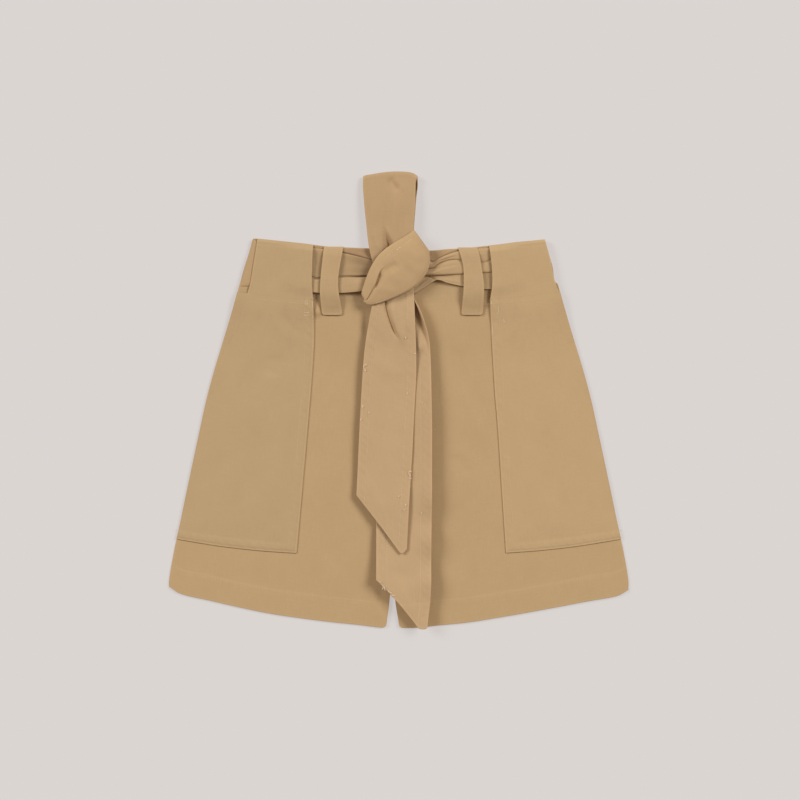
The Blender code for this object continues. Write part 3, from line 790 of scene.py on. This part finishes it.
def front_loop(loop, u, v):
    y = between(LOOP_FOOT, loop.top, v)
    off = u - 0.5
    corner = 2.6 * np.maximum(np.abs(off) * 2 - 0.78, 0.0) ** 2 / 0.05
    y = y + corner * fade(y - LOOP_FOOT, LOOP_CORNER)
    width = loop.width(y)
    x = loop.middle(y) + off * width
    low = front_height(x, np.minimum(y, seam_y(x))) + PLY + 0.3
    crown = 0.5 * (1 - (2 * off) ** 2) * ease((y - 90) / 10) - 0.2 * bell(np.abs(off) * width - 7.8, 0.8)
    tilt = -1.2 * loop.side * off * bell(y - 106.0, 8.0)  # the belt holds its inner side up
    base = between(low, LOOP_TOP_Z, ease((y - 100) / 50))
    return x, y, base + (LOOP_STAND - base) * np.clip(loop_lift(y), 0, 1) + crown + np.maximum(tilt, 0.0)


def back_loop(u, v):
    y = between(BACK_LOOP_FOOT, BACK_LOOP_TOP, v)
    x = (u - 0.5) * BACK_LOOP_WIDTH
    low = back_height(x, np.minimum(y, seam_y(x))) - PLY
    return x, y, between(low, 0.5 * CLOTH, np.clip(back_loop_lift(y), 0, 1))


loop_twill = twill("loop twill", (0.493, 0.327, 0.167))
for loop in LOOPS:
    place = partial(front_loop, loop)
    strip = lay(f"belt_loop_{loop.word}_strip", place, (20.0, 74.0), (26, 84), loop_twill, wall=LOOP_WALL)
    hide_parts(f"belt_loop_{loop.word}")
strip = lay("belt_loop_back_strip", back_loop, (BACK_LOOP_WIDTH, 71.0), (20, 60), loop_twill)
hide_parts("belt_loop_back")

# ---- Belt, beside the knot
# The same band on its way to the knot. On the left it lies in one deep pleat, its lower ply in front. On
# the right it is gathered into a fan that narrows to the knot, and its lowest ply twists down behind it.

Place = namedtuple("Place", "high soft fold low")
belt_left_edges = Place(
    belt_top[-1],
    None,
    curve(
        (-122, 125.4), (-103, 125.2), (-86, 125.2), (-70, 126.2), (-57.5, 127.0), (-43, 127.0), (-12, 128),
    ),
    curve((-122, 118), (-103, 114), (-86, 112), (-70, 111.4), (-57.5, 111.8), (-43, 113), (-12, 117)),
)
belt_right_edges = Place(
    belt_top[1],
    curve(
        (12, 135), (30, 137.1), (37, 138.9), (40, 141.7), (45.6, 144.7), (53, 146.8), (60, 147.1),
        (76, 145.4), (90, 143.9), (122, 143),
    ),
    curve((12, 130), (31.5, 130.4), (45.4, 130.8), (61.5, 131.8), (76, 132.8), (90, 133.4), (122, 133)),
    curve(
        (12, 109.4), (19, 112.6), (26.5, 117.1), (33, 121.6), (39, 125.1), (44, 124.8), (50, 122.6),
        (61.5, 119.8), (76, 117.2), (90, 115.6), (122, 117.6),
    ),
)
BELT_RIGHT_CREASES = (
    (34, 143.2, 62, 153.0, -0.6, 1.1, 0.9), (33, 141.6, 60, 150.2, -0.8, 1.0, -0.6),
    (36, 137.0, 62, 141.6, 0.4, 1.2, -0.8), (34, 135.2, 62, 139.0, 0.4, 2.0, 0.5),
    (31, 132.6, 44, 134.6, 0.2, 1.2, 0.5), (30, 130.6, 40, 124.4, 0.4, 1.0, -1.3),
    (40, 127.8, 68, 122.4, 0.6, 1.6, 0.7), (43, 125.6, 66, 120.6, 0.3, 1.2, -0.5),
    (16, 113.4, 33, 125.6, -0.6, 1.2, 0.6), (18, 116.6, 31, 129.2, -0.6, 1.1, -0.5),
    (70, 152.0, 92, 153.0, 0.5, 2.4, 0.4),
)
BELT_LEFT_CREASES = (
    (-58, 146.0, -30, 140.5, 0.8, 3.0, -0.45), (-60, 137.0, -34, 135.4, -0.6, 3.6, 0.4),
    (-62, 121.0, -36, 122.5, 0.6, 3.0, 0.35), (-88, 148.0, -80, 133.0, 0.4, 3.0, -0.35),
)


# Down the belt: share of the way, the way from one edge line to the next or mm from one, and mm of height
def left_pleat(high, fold, low):
    stops = (0.0, 0.13, 0.24, 0.31, 0.35, 0.385, 0.44, 0.50, 0.56, 0.62, 0.65, 0.68, 0.80, 0.92, 1.0)
    ys = (high, between(high, fold, 0.4), between(high, fold, 0.72), fold + 4.0, fold + 3.0, fold + 2.3,
          fold - 2.6, fold - 4.4, fold - 3.0, fold - 0.4, fold + 0.3, fold - 0.5,
          between(fold, low, 0.45), between(fold, low, 0.8), low)
    zs = (0.9, 0.7, 1.3, 2.0, 1.6, 0.1, -0.1, 0.9, 2.1, 3.1, 4.2, 5.0, 5.9, 6.3, 5.8)
    return stops, ys, zs


def right_fan(high, soft, fold, low):
    stops = (0.0, 0.08, 0.15, 0.21, 0.27, 0.40, 0.53, 0.57, 0.61, 0.66, 0.70, 0.74, 0.84, 1.0)
    ys = (high, between(high, soft, 0.45), between(high, soft, 0.9), soft - 0.6, between(soft, fold, 0.22),
          between(soft, fold, 0.6), fold + 0.7, fold - 0.2, fold + 0.7, fold + 2.6, fold + 3.4, fold + 2.6,
          between(fold, low, 0.35), low)
    zs = (2.0, 3.6, 3.2, 0.9, 3.4, 5.6, 5.8, 3.2, 1.6, 1.6, 1.2, 0.8, 2.2, 4.6)
    return stops, ys, zs


FLATTENED = 0.4  # how much of its fullness the pleat keeps under the loops
BELT_MIDDLE_Y = 138.0
UNDER_KNOT = 12.0  # from the middle, where it ends under the knot


def beside_knot(side, edges, pleat, creases, u, v):
    """Places a stretch beside the knot: u runs from the side panel to the knot, v from the lower edge up."""
    outer = side_x(BELT_MIDDLE_Y) - SIDE_RUN_FRONT - GAP
    along = between(side * outer, side * UNDER_KNOT, u)
    lines = [edge(along) for edge in edges if edge]
    stops, ys, zs = pleat(*lines)
    spread = ease((np.abs(along) - 86.0) / 22.0)
    ys = [between(y, between(lines[0], lines[-1], stop), spread) for stop, y in zip(stops, ys)]
    pleated = (1 - spread) * between(1.0, FLATTENED, ease((np.abs(along) - 36.0) / 30.0))
    y, z = (through(np.array(stops), column, 1 - v) for column in (ys, [pleated * z for z in zs]))
    x = along + side * (side_x(y) - side_x(BELT_MIDDLE_Y)) * ease((np.abs(along) - 92.0) / 20.0)
    return x, y, BELT_FRONT_Z + z + creased(x, y, creases) * pleated


def pleat_shadow_paint(x, y):
    """Painted shade: darker above the pleat, where the upper ply lies recessed, and darkest by the knot, in
    its shadow.
    """
    in_fold = ease((y - belt_left_edges.fold(x) - 0.5) / 1.5)
    return in_fold * (0.22 + 0.22 * ease((x + 84.0) / 24.0) + 0.56 * ease((x + 54.0) / 20.0))


place = partial(beside_knot, -1, belt_left_edges, left_pleat, BELT_LEFT_CREASES)
belt_left = lay("belt_left_run", place, (104.0, BAND_DEPTH), (100, 116), shaded_belt_twill)
place = partial(beside_knot, 1, belt_right_edges, right_fan, BELT_RIGHT_CREASES)
belt_right = lay("belt_right_run", place, (104.0, BAND_DEPTH), (110, 96), shaded_belt_twill)
shade_in_paint(belt_left, pleat_shadow_paint)
for side_piece, word in ((belt_left, "left"), (belt_right, "right")):
    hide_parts(f"belt_{word}")

# ---- Belt, the tails
# Both ends of the belt hang from the knot over the fronts, one over the other. Each is topstitched along
# its long edges and cut to a slant. Doubled cloth is stiff, so they stand a little off the legs.

Tail = namedtuple("Tail", "row left right top end left_lift middle_lift right_lift rim creases")
TAIL_ROW = 9.0
TAIL_WALL = 1.2
TAIL_WIDTH = 59.0
TAIL_CELL = 1.35  # the length of a face
TAIL_FRONT = Tail(
    9.2,
    curve(
        (112, -25.2), (84, -30.8), (54, -35.6), (24, -38.1), (-27, -41.0), (-80, -43.4), (-118, -45.2),
        (-162, -46.6),
    ),
    curve(
        (112, 15.6), (100, 16.4), (84, 17.0), (54, 18.2), (24, 18.3), (0, 17.0), (-27, 15.6), (-55, 14.3),
        (-80, 12.7), (-118, 10.5), (-157, 8.5),
    ),
    (106.0, 118.0),
    curve(
        (0, -100.3), (0.46, -131.4), (0.84, -158.4), (0.88, -160.9), (0.915, -161.4), (0.95, -159.9),
        (1, -156.6),
    ),
    curve((-100, 7.0), (-75, 6.8), (-40, 7.6), (0, 7.6), (30, 7.8), (60, 7.8), (84, 9.0), (112, 9.6)),
    curve((-160, 9.4), (-120, 8.8), (-60, 7.2), (0, 6.6), (50, 7.6), (84, 9.4), (112, 8.5)),
    curve(
        (-160, 9.4), (-130, 8.6), (-105, 8.2), (-80, 6.6), (-40, 6.2), (0, 6.2), (20, 6.8), (50, 9.4),
        (84, 10.8), (112, 9),
    ),
    curve((-160, 0), (112, 0)),
    (
        (-15.5, 107, -1.5, 65, 2.0, 1.6, -3.2), (-22, 104, -15, 62, 1.0, 5.0, 0.7),
        (-7, 104, 4, 60, 1.6, 3.6, 1.9), (8, 106, 10, 70, 0.0, 4.0, 0.8), (-30, 44, 4, 26, 1.5, 7.0, 0.5),
        (-26, -30, 2, -44, -1.5, 8.0, -0.4), (-34, -84, -12, -118, 2.0, 8.0, 0.5),
    ),
)
TAIL_REAR = Tail(
    11.2,
    curve(
        (112, -24), (78, -26), (58, -26), (24, -25), (-27, -24), (-95, -23.6), (-168, -23.6), (-240, -23.6),
    ),
    curve(
        (112, 13.0), (107.6, 15.2), (94.5, 22.0), (83, 26.4), (70, 30.2), (58, 32.5), (31, 33.8), (5, 34.3),
        (-21, 34.7), (-48, 34.8), (-100, 34.7), (-153, 34.1), (-205, 33.5), (-238, 29.9),
    ),
    (104.0, 116.0),
    curve((0, -188.8), (0.265, -204.2), (0.83, -239.2), (0.88, -240.4), (0.97, -240.2), (1, -238.8)),
    curve((-189, 13.0), (-165, 8.6), (-150, 7.0), (-110, 4.4), (0, 3.0), (60, 2.6), (112, 1.6)),
    curve((-240, 12.4), (-200, 9.8), (-150, 5.6), (-80, 3.6), (0, 3.2), (60, 2.6), (112, 1.6)),
    curve(
        (-240, 11.5), (-215, 9.4), (-192, 12.4), (-170, 9.6), (-148, 12.8), (-128, 10.4), (-104, 13.6),
        (-75, 12.0), (-40, 12.2), (0, 11.6), (30, 9.6), (60, 6.6), (84, 3.4), (112, 1.6),
    ),
    curve((-240, 0), (0, 0), (48, 0.4), (62, 2.4), (74, 5.0), (86, 7.0), (95, 7.4), (104, 6.4), (112, 4.5)),
    (
        (15.5, 101, 19.5, 84, 0.0, 2.6, -1.2), (17.5, 76, 24.0, 50, 0.0, 4.6, 2.6),
        (24, -60, 30, -110, 1.0, 5.0, 0.4), (-14, -178, 22, -186, 1.2, 7.0, -0.5),
        (4, -196, 20, -226, 1.5, 6.0, 0.5),
    ),
)


def tail_height(form, x, y):
    left, right = form.left(y), form.right(y)
    u = np.clip((x - left) / (right - left), 0.0, 1.0)
    edge_in = np.maximum(np.minimum(x - left, right - x), 0.0)
    end_in = np.maximum((y - form.end(u)) * 0.66, 0.0)
    channel = -0.24 * bell(edge_in - form.row, 0.9) * ease(end_in / 3.0)
    channel = channel - 0.12 * bell(np.minimum(edge_in, end_in) - 1.6, 0.7)
    puckers = 0.13 * puckered(x + y, 1.5, 2.0, 12.0) * bell(edge_in - 6.5, 3.6)
    doubled = 0.25 * fade(edge_in - form.row + 1, 2.0)
    lift = 2 * (u - 0.5) * (u - 1) * form.left_lift(y) - 4 * u * (u - 1) * form.middle_lift(y)
    lift = lift + 2 * u * (u - 0.5) * form.right_lift(y)
    lift = lift + form.rim(y) * fade(right - x, 2.6)  # beside the front tail its edge is turned up
    soft = creased(x, y, form.creases) + 1.3 * swell(1.6 * x, 1.2 * y, form.left(0.0))
    return front_height(x, y) - swell(x, y, 0.7) + lift + channel + puckers + doubled + soft


def tail(form, u, v):
    """Places a tail: u runs from its left edge to its right, v from its slanted end up to the knot."""
    y = between(form.end(u), between(*form.top, u), v)
    x = between(form.left(y), form.right(y), u)
    z = tail_height(form, x, y)
    if form is TAIL_FRONT:  # it lies on the rear tail where it comes down to it
        clear = z - tail_height(TAIL_REAR, x, y) - TAIL_WALL - GAP
        z = z + 0.5 * (np.sqrt(clear**2 + 0.2) - clear)
    return x, y, z


def face_of(place, u, v, wall=TAIL_WALL):
    """Points on a piece's upper face at shares u, v of its cut."""
    u, v = np.broadcast_arrays(np.asarray(u, float), np.asarray(v, float))
    steps = ((0, 0), (1e-3, 0), (0, 1e-3))
    here, across, along = (
        np.stack(np.broadcast_arrays(*place(u + right, v + up)), axis=1) for right, up in steps
    )
    normal = np.cross(across - here, along - here)
    normal = normal / np.linalg.norm(normal, axis=1)[:, None]
    return here + normal * np.sign(normal[:, 2:3] + 1e-9) * 0.5 * wall


def tail_rows(place, inset, end):
    """The topstitching, down both edges to the slanted end."""
    down = np.linspace(0.97, end, 160)
    return [face_of(place, share, down) for share in (inset, 1 - inset)]


def curl(place, u, v, size, turns):
    """A loose yarn's end on the cloth, a small wavy curl of about that size in mm."""
    along = np.linspace(0.0, 1.0, 14)
    heart = face_of(place, [u], [v])[0]
    swing = size * 0.5 * along
    x = heart[0] + swing * np.sin(turns * 2.2 * along) + 0.25 * size * along
    y = heart[1] - swing * np.cos(turns * 1.7 * along)
    return np.stack((x, y, heart[2] + 0.3 + 0.5 * np.sin(math.pi * along) + 0.16 * size * along), axis=1)


belt_thread = thread("belt thread", (0.655, 0.465, 0.27))
pale_yarn = thread("pale yarn", (0.86, 0.70, 0.50))
YARN = Stitch(0.55, 0.95, 0.6, 0.5)
CURLS = {  # shares across and up the cloth, size in mm, turns
    "front": (
        (0.965, 0.285, 5.0, 2.0), (0.955, 0.30, 4.2, -2.6), (0.975, 0.275, 3.4, 1.2),
        (0.78, 0.195, 2.8, 1.5), (0.93, 0.18, 3.6, -1.5), (0.90, 0.165, 2.6, 1.2), (0.15, 0.44, 2.2, -2.0),
        (0.014, 0.385, 3.6, -1.4), (0.012, 0.655, 5.0, -2.0), (0.022, 0.635, 4.0, 1.6),
        (0.012, 0.451, 3.8, 1.4), (0.79, 0.81, 3.0, -1.5), (0.955, 0.75, 2.6, 1.2), (0.835, 0.60, 3.0, 1.6),
    ),
    "rear": (
        (0.115, 0.004, 10.0, -0.3), (0.135, 0.004, 9.0, -0.1), (0.21, 0.004, 6.4, 0.4),
        (0.29, 0.004, 4.0, 0.8), (0.05, 0.004, 3.0, 0.8), (0.83, 0.668, 2.4, 1.2), (0.825, 0.34, 2.8, -1.4),
    ),
}

for form, word, beneath, length, flat_length, area in (
    (TAIL_REAR, "rear", ["front_left_panel", "front_right_panel"], 330.0, 0.357, 0.0188),
    (TAIL_FRONT, "front", ["belt_tail_rear_cloth", "front_left_panel"], 250.0, 0.281, 0.0133),
):
    place = partial(tail, form)
    cells = (46, int(length / TAIL_CELL))
    hanging = lay(f"belt_tail_{word}_cloth", place, (TAIL_WIDTH, length), cells, belt_twill, wall=TAIL_WALL)
    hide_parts(f"belt_tail_{word}")
    rows = tail_rows(place, form.row / TAIL_WIDTH, 2.5 / length)
    stitching = sew(f"belt_tail_{word}_stitching", rows, belt_thread)
    curls = [curl(place, *where) for where in CURLS[word]]
    yarns = sew(f"belt_tail_{word}_loose_yarns", curls, pale_yarn, YARN)

# ---- Belt, the bow's loop
# One loop of the half bow stands up from the knot past the waist: the belt goes up behind, turns over in
# a round fold at the top and comes back down in front, pinched and dented where the knot holds it.

bow_left = curve(
    (138, -24.9), (149, -28.8), (161, -31.4), (172, -32.9), (184, -34.1), (200, -35.8), (215, -37.0),
    (225, -37.6), (232.9, -37.4),
)
bow_right = curve(
    (138, 13), (149, 14), (161, 15.2), (172, 15.8), (184, 16.3), (200, 17.6), (216, 18.3), (232.9, 18.6),
)
bow_under = curve((138, 6.4), (149, 6.2), (161, 5.8), (172, 3.6), (184, 1.4), (200, 0.7), (232.9, 0.6))
bow_over = curve(
    (138, 9.4), (149, 10.2), (161, 10.6), (172, 9.8), (184, 8.8), (200, 8.2), (218, 7.2), (232.9, 5.8),
)
bow_crown = curve(  # the fold's own line, across
    (0, -3.2), (0.05, -2.4), (0.15, -1.4), (0.3, 0.1), (0.5, 1.4), (0.68, 1.6), (0.84, 1.0), (0.93, -0.4),
    (1, -3.2),
)
BOW_START, BOW_END, BOW_BULGE = 139.0, 232.9, 4.4
BOW_CREASES = (
    (-9.5, 231.5, 0, 219, 0.8, 4.2, -2.0), (-4.5, 231.5, 5, 220, 0.8, 4.0, 0.7),
    (-11, 216, -13, 176, -1.0, 4.0, -0.8), (-2, 214, -4, 176, 0.0, 6.0, 0.7),
    (-25, 206, -23, 170, 1.0, 4.0, 0.6), (8, 200, 6, 170, 0.6, 4.0, -0.4),
    (-27, 176, -20, 156, 0.6, 3.0, 0.7),
)
DENT_TOP, DENT_DEPTH = 182.0, 7.6  # where the knot pinches both plies
BOW_WIDTH = 52.0


def dent(x, y):
    """A three-sided hollow that widens and deepens down to the knot, steepest on its left."""
    down = np.clip((DENT_TOP - y) / 22.0, 0.0, 1.0)
    off = x - between(-16.4, -10.4, down)
    width = np.where(off < 0, between(1.2, 4.4, down), between(1.6, 4.6, down))
    return -DENT_DEPTH * down**1.2 * bell(off, width)


def bow(u, v):
    """v runs from the knot up the under ply, round the fold and down the upper ply to the knot."""
    end = BOW_END + bow_crown(u)
    turn_from, turn_to = 0.46, 0.54
    up, down = np.clip(v / turn_from, 0, 1), np.clip((1 - v) / (1 - turn_to), 0, 1)
    turn = math.pi * np.clip((v - turn_from) / (turn_to - turn_from), 0, 1)
    upper = ease((v - 0.5) / 0.06)
    low, high = bow_under(end), bow_over(end)
    y = between(BOW_START, end, np.where(v < 0.5, up, down)) + BOW_BULGE * np.sin(turn)
    z = np.where(v < turn_from, bow_under(y), np.where(v > turn_to, bow_over(y), 0.0))
    turning = (v >= turn_from) & (v <= turn_to)
    z = np.where(turning, between(low, high, 0.5 * (1 - np.cos(turn))), z)
    peeps = (1 - upper) * bell(y - 226, 11.5)  # the under ply's edge shows on the right, turned up
    left, right = bow_left(y), bow_right(y) + 1.5 * peeps - upper * 0.7
    x = between(left, right, u)
    edge_in = np.minimum(x - left, right - x)
    stitched = -0.08 * bell(edge_in - TAIL_ROW, 1.2)
    puff = 0.9 * np.sin(math.pi * u) * np.sin(math.pi * np.clip((y - 165) / 70, 0, 1))
    soft = upper * (creased(x, y, BOW_CREASES) + stitched + puff + swell(1.7 * x, 1.5 * y, 4.0))
    soft = soft + between(0.55, 1.0, upper) * dent(x, y)
    return x, y, z + soft + 3.4 * peeps * ease(1 - (right - x) / 2.4)


# the belt's twill painted darker for the bow: painted shade
shaded_bow_twill = twill("bow twill painted shade", (0.478, 0.310, 0.160))
bow_piece = lay("belt_bow_loop", bow, (BOW_WIDTH, 176.0), (56, 170), shaded_bow_twill, wall=1.1)
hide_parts("belt_bow")
along = np.linspace(0.56, 0.97, 90)
inset = TAIL_ROW / BOW_WIDTH
bow_rows = [face_of(bow, share, along, wall=CLOTH) for share in (inset, 1 - inset)]
bow_thread = thread("bow thread", (0.515, 0.345, 0.183))
bow_stitching = sew("belt_bow_stitching", bow_rows, bow_thread, Stitch(3.0, 2.2, 0.5, 0.28))

# ---- Belt, the knot
# The belt wraps once over the crossing, from behind at the upper right to a tuck at the lower left. Its
# left edge is folded over, so a slit opens between the fold and the wrap. The plies inside are its core.

RUNGS = (  # share of the way from the upper right to the tuck, then x and y of the left and the right edge
    (0.0, 16.0, 176.9, 31.8, 154.9), (0.12, 5.0, 169.6, 32.4, 146.5), (0.25, -6.0, 163.0, 30.5, 136.0),
    (0.38, -15.0, 156.5, 24.9, 126.5), (0.5, -22.3, 149.1, 14.4, 116.8), (0.62, -28.3, 139.7, 1.3, 109.4),
    (0.74, -32.8, 129.7, -12.3, 103.8), (0.86, -36.6, 118.6, -21.9, 100.6),
    (0.93, -38.6, 111.6, -27.4, 99.4), (0.97, -37.8, 108.4, -31.0, 99.4), (1.0, -35.6, 106.0, -33.6, 100.2),
)
left_x, left_y, right_x, right_y = curves(RUNGS)
slit_at = curve(
    (0.0, 0.48), (0.38, 0.39), (0.5, 0.29), (0.62, 0.255), (0.74, 0.365), (0.86, 0.43), (0.93, 0.475),
    (0.97, 0.47), (1.0, 0.30),
)
KNOT_HEIGHTS = (  # share of the way, then z of the left edge, the right edge and the crest
    (0, 14.0, 14.0, 18.8), (0.12, 14.6, 14.8, 20.6), (0.3, 15.8, 16.2, 21.8), (0.5, 17.0, 17.2, 21.8),
    (0.7, 17.2, 17.4, 20.8), (0.85, 16.8, 16.8, 18.8), (1, 15.6, 15.6, 16.4),
)
knot_left_z, knot_right_z, knot_top_z = curves(KNOT_HEIGHTS)
KNOT_TURN, KNOT_TURN_RADIUS, KNOT_ROLL = 0.1, 3.6, math.radians(125)  # where it rolls under
KNOT_OUT = (0.814, 0.581)  # which way the turn at the upper right faces
WRAP_WIDTH = 48.0
KNOT_CREASES = (
    (4, 160, 24, 146, 1.0, 5.0, 0.5), (-6, 150, 14, 128, -1.5, 6.0, -0.6), (6, 144, 26, 132, 1.0, 5.0, 0.5),
    (-24, 116, -4, 112, -1.0, 4.0, 0.45), (-12, 138, 2, 122, 1.0, 4.0, 0.4),
    (-1, 141.5, -15, 133.5, 0.8, 4.4, -1.5),  # the soft hollow that the slit opens from
    (-3, 138.5, -17, 127.5, 1.2, 3.6, -0.6),
)


def knot(u, v):
    """u runs across the wrap from its upper left edge, v from the turn at the upper right to the tuck."""
    at = np.clip((v - KNOT_TURN) / (1 - KNOT_TURN), 0, 1)
    slit = slit_at(at)
    depth = 0.36 * ease((at - 0.51) / 0.12) + 0.64 * ease((at - 0.59) / 0.06) * fade(at - 0.72, 0.08)
    strips = ((0, 0.3), (0.3, 0.33), (0.33, 0.37), (0.37, 1))
    fold, under, back, over = (np.clip((u - start) / (end - start), 0, 1) for start, end in strips)
    share = fold * (slit - 0.02 + 0.02 * depth) + under * (0.01 - 0.005 * depth)
    share = share + back * (0.02 - 0.05 * depth) + over * (0.99 - slit + 0.035 * depth)
    x, y = between(left_x(at), right_x(at), share), between(left_y(at), right_y(at), share)
    level = between(knot_left_z(at), knot_right_z(at), share)
    dome = np.sin(math.pi * np.clip(share, 0, 1)) ** 0.45
    z = level + (knot_top_z(at) - level) * dome
    z = z + depth * (0.9 * ease((fold - 0.4) / 0.6) - 4.6 * under + 3.7 * ease(over / 0.36))
    turn = KNOT_ROLL * (1 - np.clip(v / KNOT_TURN, 0, 1))
    inward = KNOT_TURN_RADIUS * fade(at, 0.2) - KNOT_TURN_RADIUS * np.sin(turn)
    z = z - KNOT_TURN_RADIUS * (1 - np.cos(turn)) * (0.25 + 0.75 * dome)
    edge_in = share * WRAP_WIDTH
    stitched = -0.22 * bell(edge_in - TAIL_ROW, 0.9) * (at > 0.02) * fade(at - 0.35, 0.15)
    x = x - inward * KNOT_OUT[0] * (1 - share)
    y = y - inward * between(KNOT_OUT[1], 1.0, share)
    x = x - 2.1 * bell(share - 0.56, 0.2) * ease((at - 0.955) / 0.045)
    return x, y, z + stitched + creased(x, y, KNOT_CREASES)


# the belt's twill painted a little darker for the knot: painted shade
shaded_knot_twill = twill("knot twill painted shade", (0.508, 0.330, 0.167))
knot_piece = lay("belt_knot_wrap", knot, (54.0, 96.0), (90, 96), shaded_knot_twill, wall=TAIL_WALL, turned="lr")
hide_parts("belt_knot")

knot_reach = curve(
    (-180, 26), (-160, 32.2), (-148, 41.5), (-135, 47.7), (-122, 43), (-108, 33.8), (-80, 26.7),
    (-46, 26.1), (-15, 29.4), (4, 33.5), (27, 38.4), (47, 41), (65, 44.7), (76, 36), (90, 29.4),
    (116, 23.4), (152, 23.2), (180, 26),
)
KNOT_X, KNOT_Y = -3.0, 136.0
CORE_SHARE = 0.86  # of the way out to the wrap's outline
CORE_Z, CORE_UP, CORE_DOWN = 13.0, 6.6, 5.6  # its middle's height, and its reach above and below that
core = bmesh.new()
bmesh.ops.create_uvsphere(core, u_segments=96, v_segments=32, radius=1.0)
for vert in core.verts:
    bearing = math.atan2(vert.co.y, vert.co.x)
    far = CORE_SHARE * float(knot_reach(math.degrees(bearing))) * math.hypot(vert.co.x, vert.co.y)
    far += 0.3 * math.sin(7.0 * vert.co.z + 3.0 * math.sin(bearing * 2.0))  # the plies' edges
    height = CORE_Z + (CORE_UP if vert.co.z > 0 else CORE_DOWN) * vert.co.z
    at = (KNOT_X + far * math.cos(bearing), KNOT_Y + far * math.sin(bearing), height)
    vert.co = [MM * value for value in at]
core_mesh = mesh_of("belt_knot_core", core)
core_mesh.materials.append(shaded_knot_twill)
core_mesh.shade_smooth()
core_piece = stood("belt_knot_core", core_mesh)
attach(core_piece, "root")

left_row = face_of(knot, 0.13, np.linspace(0.14, 0.5, 70))
right_row = face_of(knot, 0.955, np.linspace(0.5, 0.92, 50))
knot_stitching = sew("belt_knot_stitching", [left_row, right_row], belt_thread)
tight_row = face_of(knot, 0.135, np.linspace(0.30, 0.37, 12))
TIGHT = Stitch(3.2, 1.3, 0.8, 0.5)
tight_stitches = sew("belt_knot_tight_stitches", [tight_row], pale_yarn, TIGHT)

# ---- Table, light and camera
# A plain pale lit table, even light from a white studio, two large far softboxes beyond the waist on the
# left and the right, and a camera straight above.

table = bmesh.new()
bmesh.ops.create_grid(table, x_segments=2, y_segments=2, size=3.0)
table_mesh = mesh_of("table", table)
stood("table", table_mesh)
TABLE_FINISH = {
    "Base Color": (0.2265, 0.213, 0.2065, 1.0),
    "Emission Color": (0.708, 0.665, 0.645, 1.0),
    "Emission Strength": 0.68,
    "Roughness": 0.95,
    "Specular IOR Level": 0.0,
}
table_mesh.materials.append(finish("pale table", TABLE_FINISH)[0])

scene = bpy.context.scene
scene.view_settings.view_transform = "Standard"
world = bpy.data.worlds.new("white studio")
world.use_nodes = True
world.node_tree.nodes["Background"].inputs["Color"].default_value = (1.0, 0.86, 0.76, 1.0)
world.node_tree.nodes["Background"].inputs["Strength"].default_value = 0.28
scene.world = world
for word, place, level in (("left", (-1.32, 0.62, 1.0), 0.339), ("right", (0.95, 0.55, 1.0), 0.448)):
    softbox = bpy.data.lights.new(f"softbox {word}", "SUN")
    softbox.angle = math.radians(24)
    softbox.color = (0.9147, 0.9644, 1.0)
    softbox.energy = math.pi * level * Vector(place).length  # level is what it adds on the flat table
    stood(f"softbox {word}", softbox).rotation_euler = Vector(place).to_track_quat("Z", "Y").to_euler()

CAMERA_AT = (0.0013125, -0.000525, 3.003)  # over the middle of the photograph's frame
camera = bpy.data.cameras.new("camera")
camera.sensor_width = 36.0
camera.lens = 128.57
camera.clip_start = 0.05
camera.clip_end = 20.0
scene.camera = stood("camera", camera)
scene.camera.location = CAMERA_AT
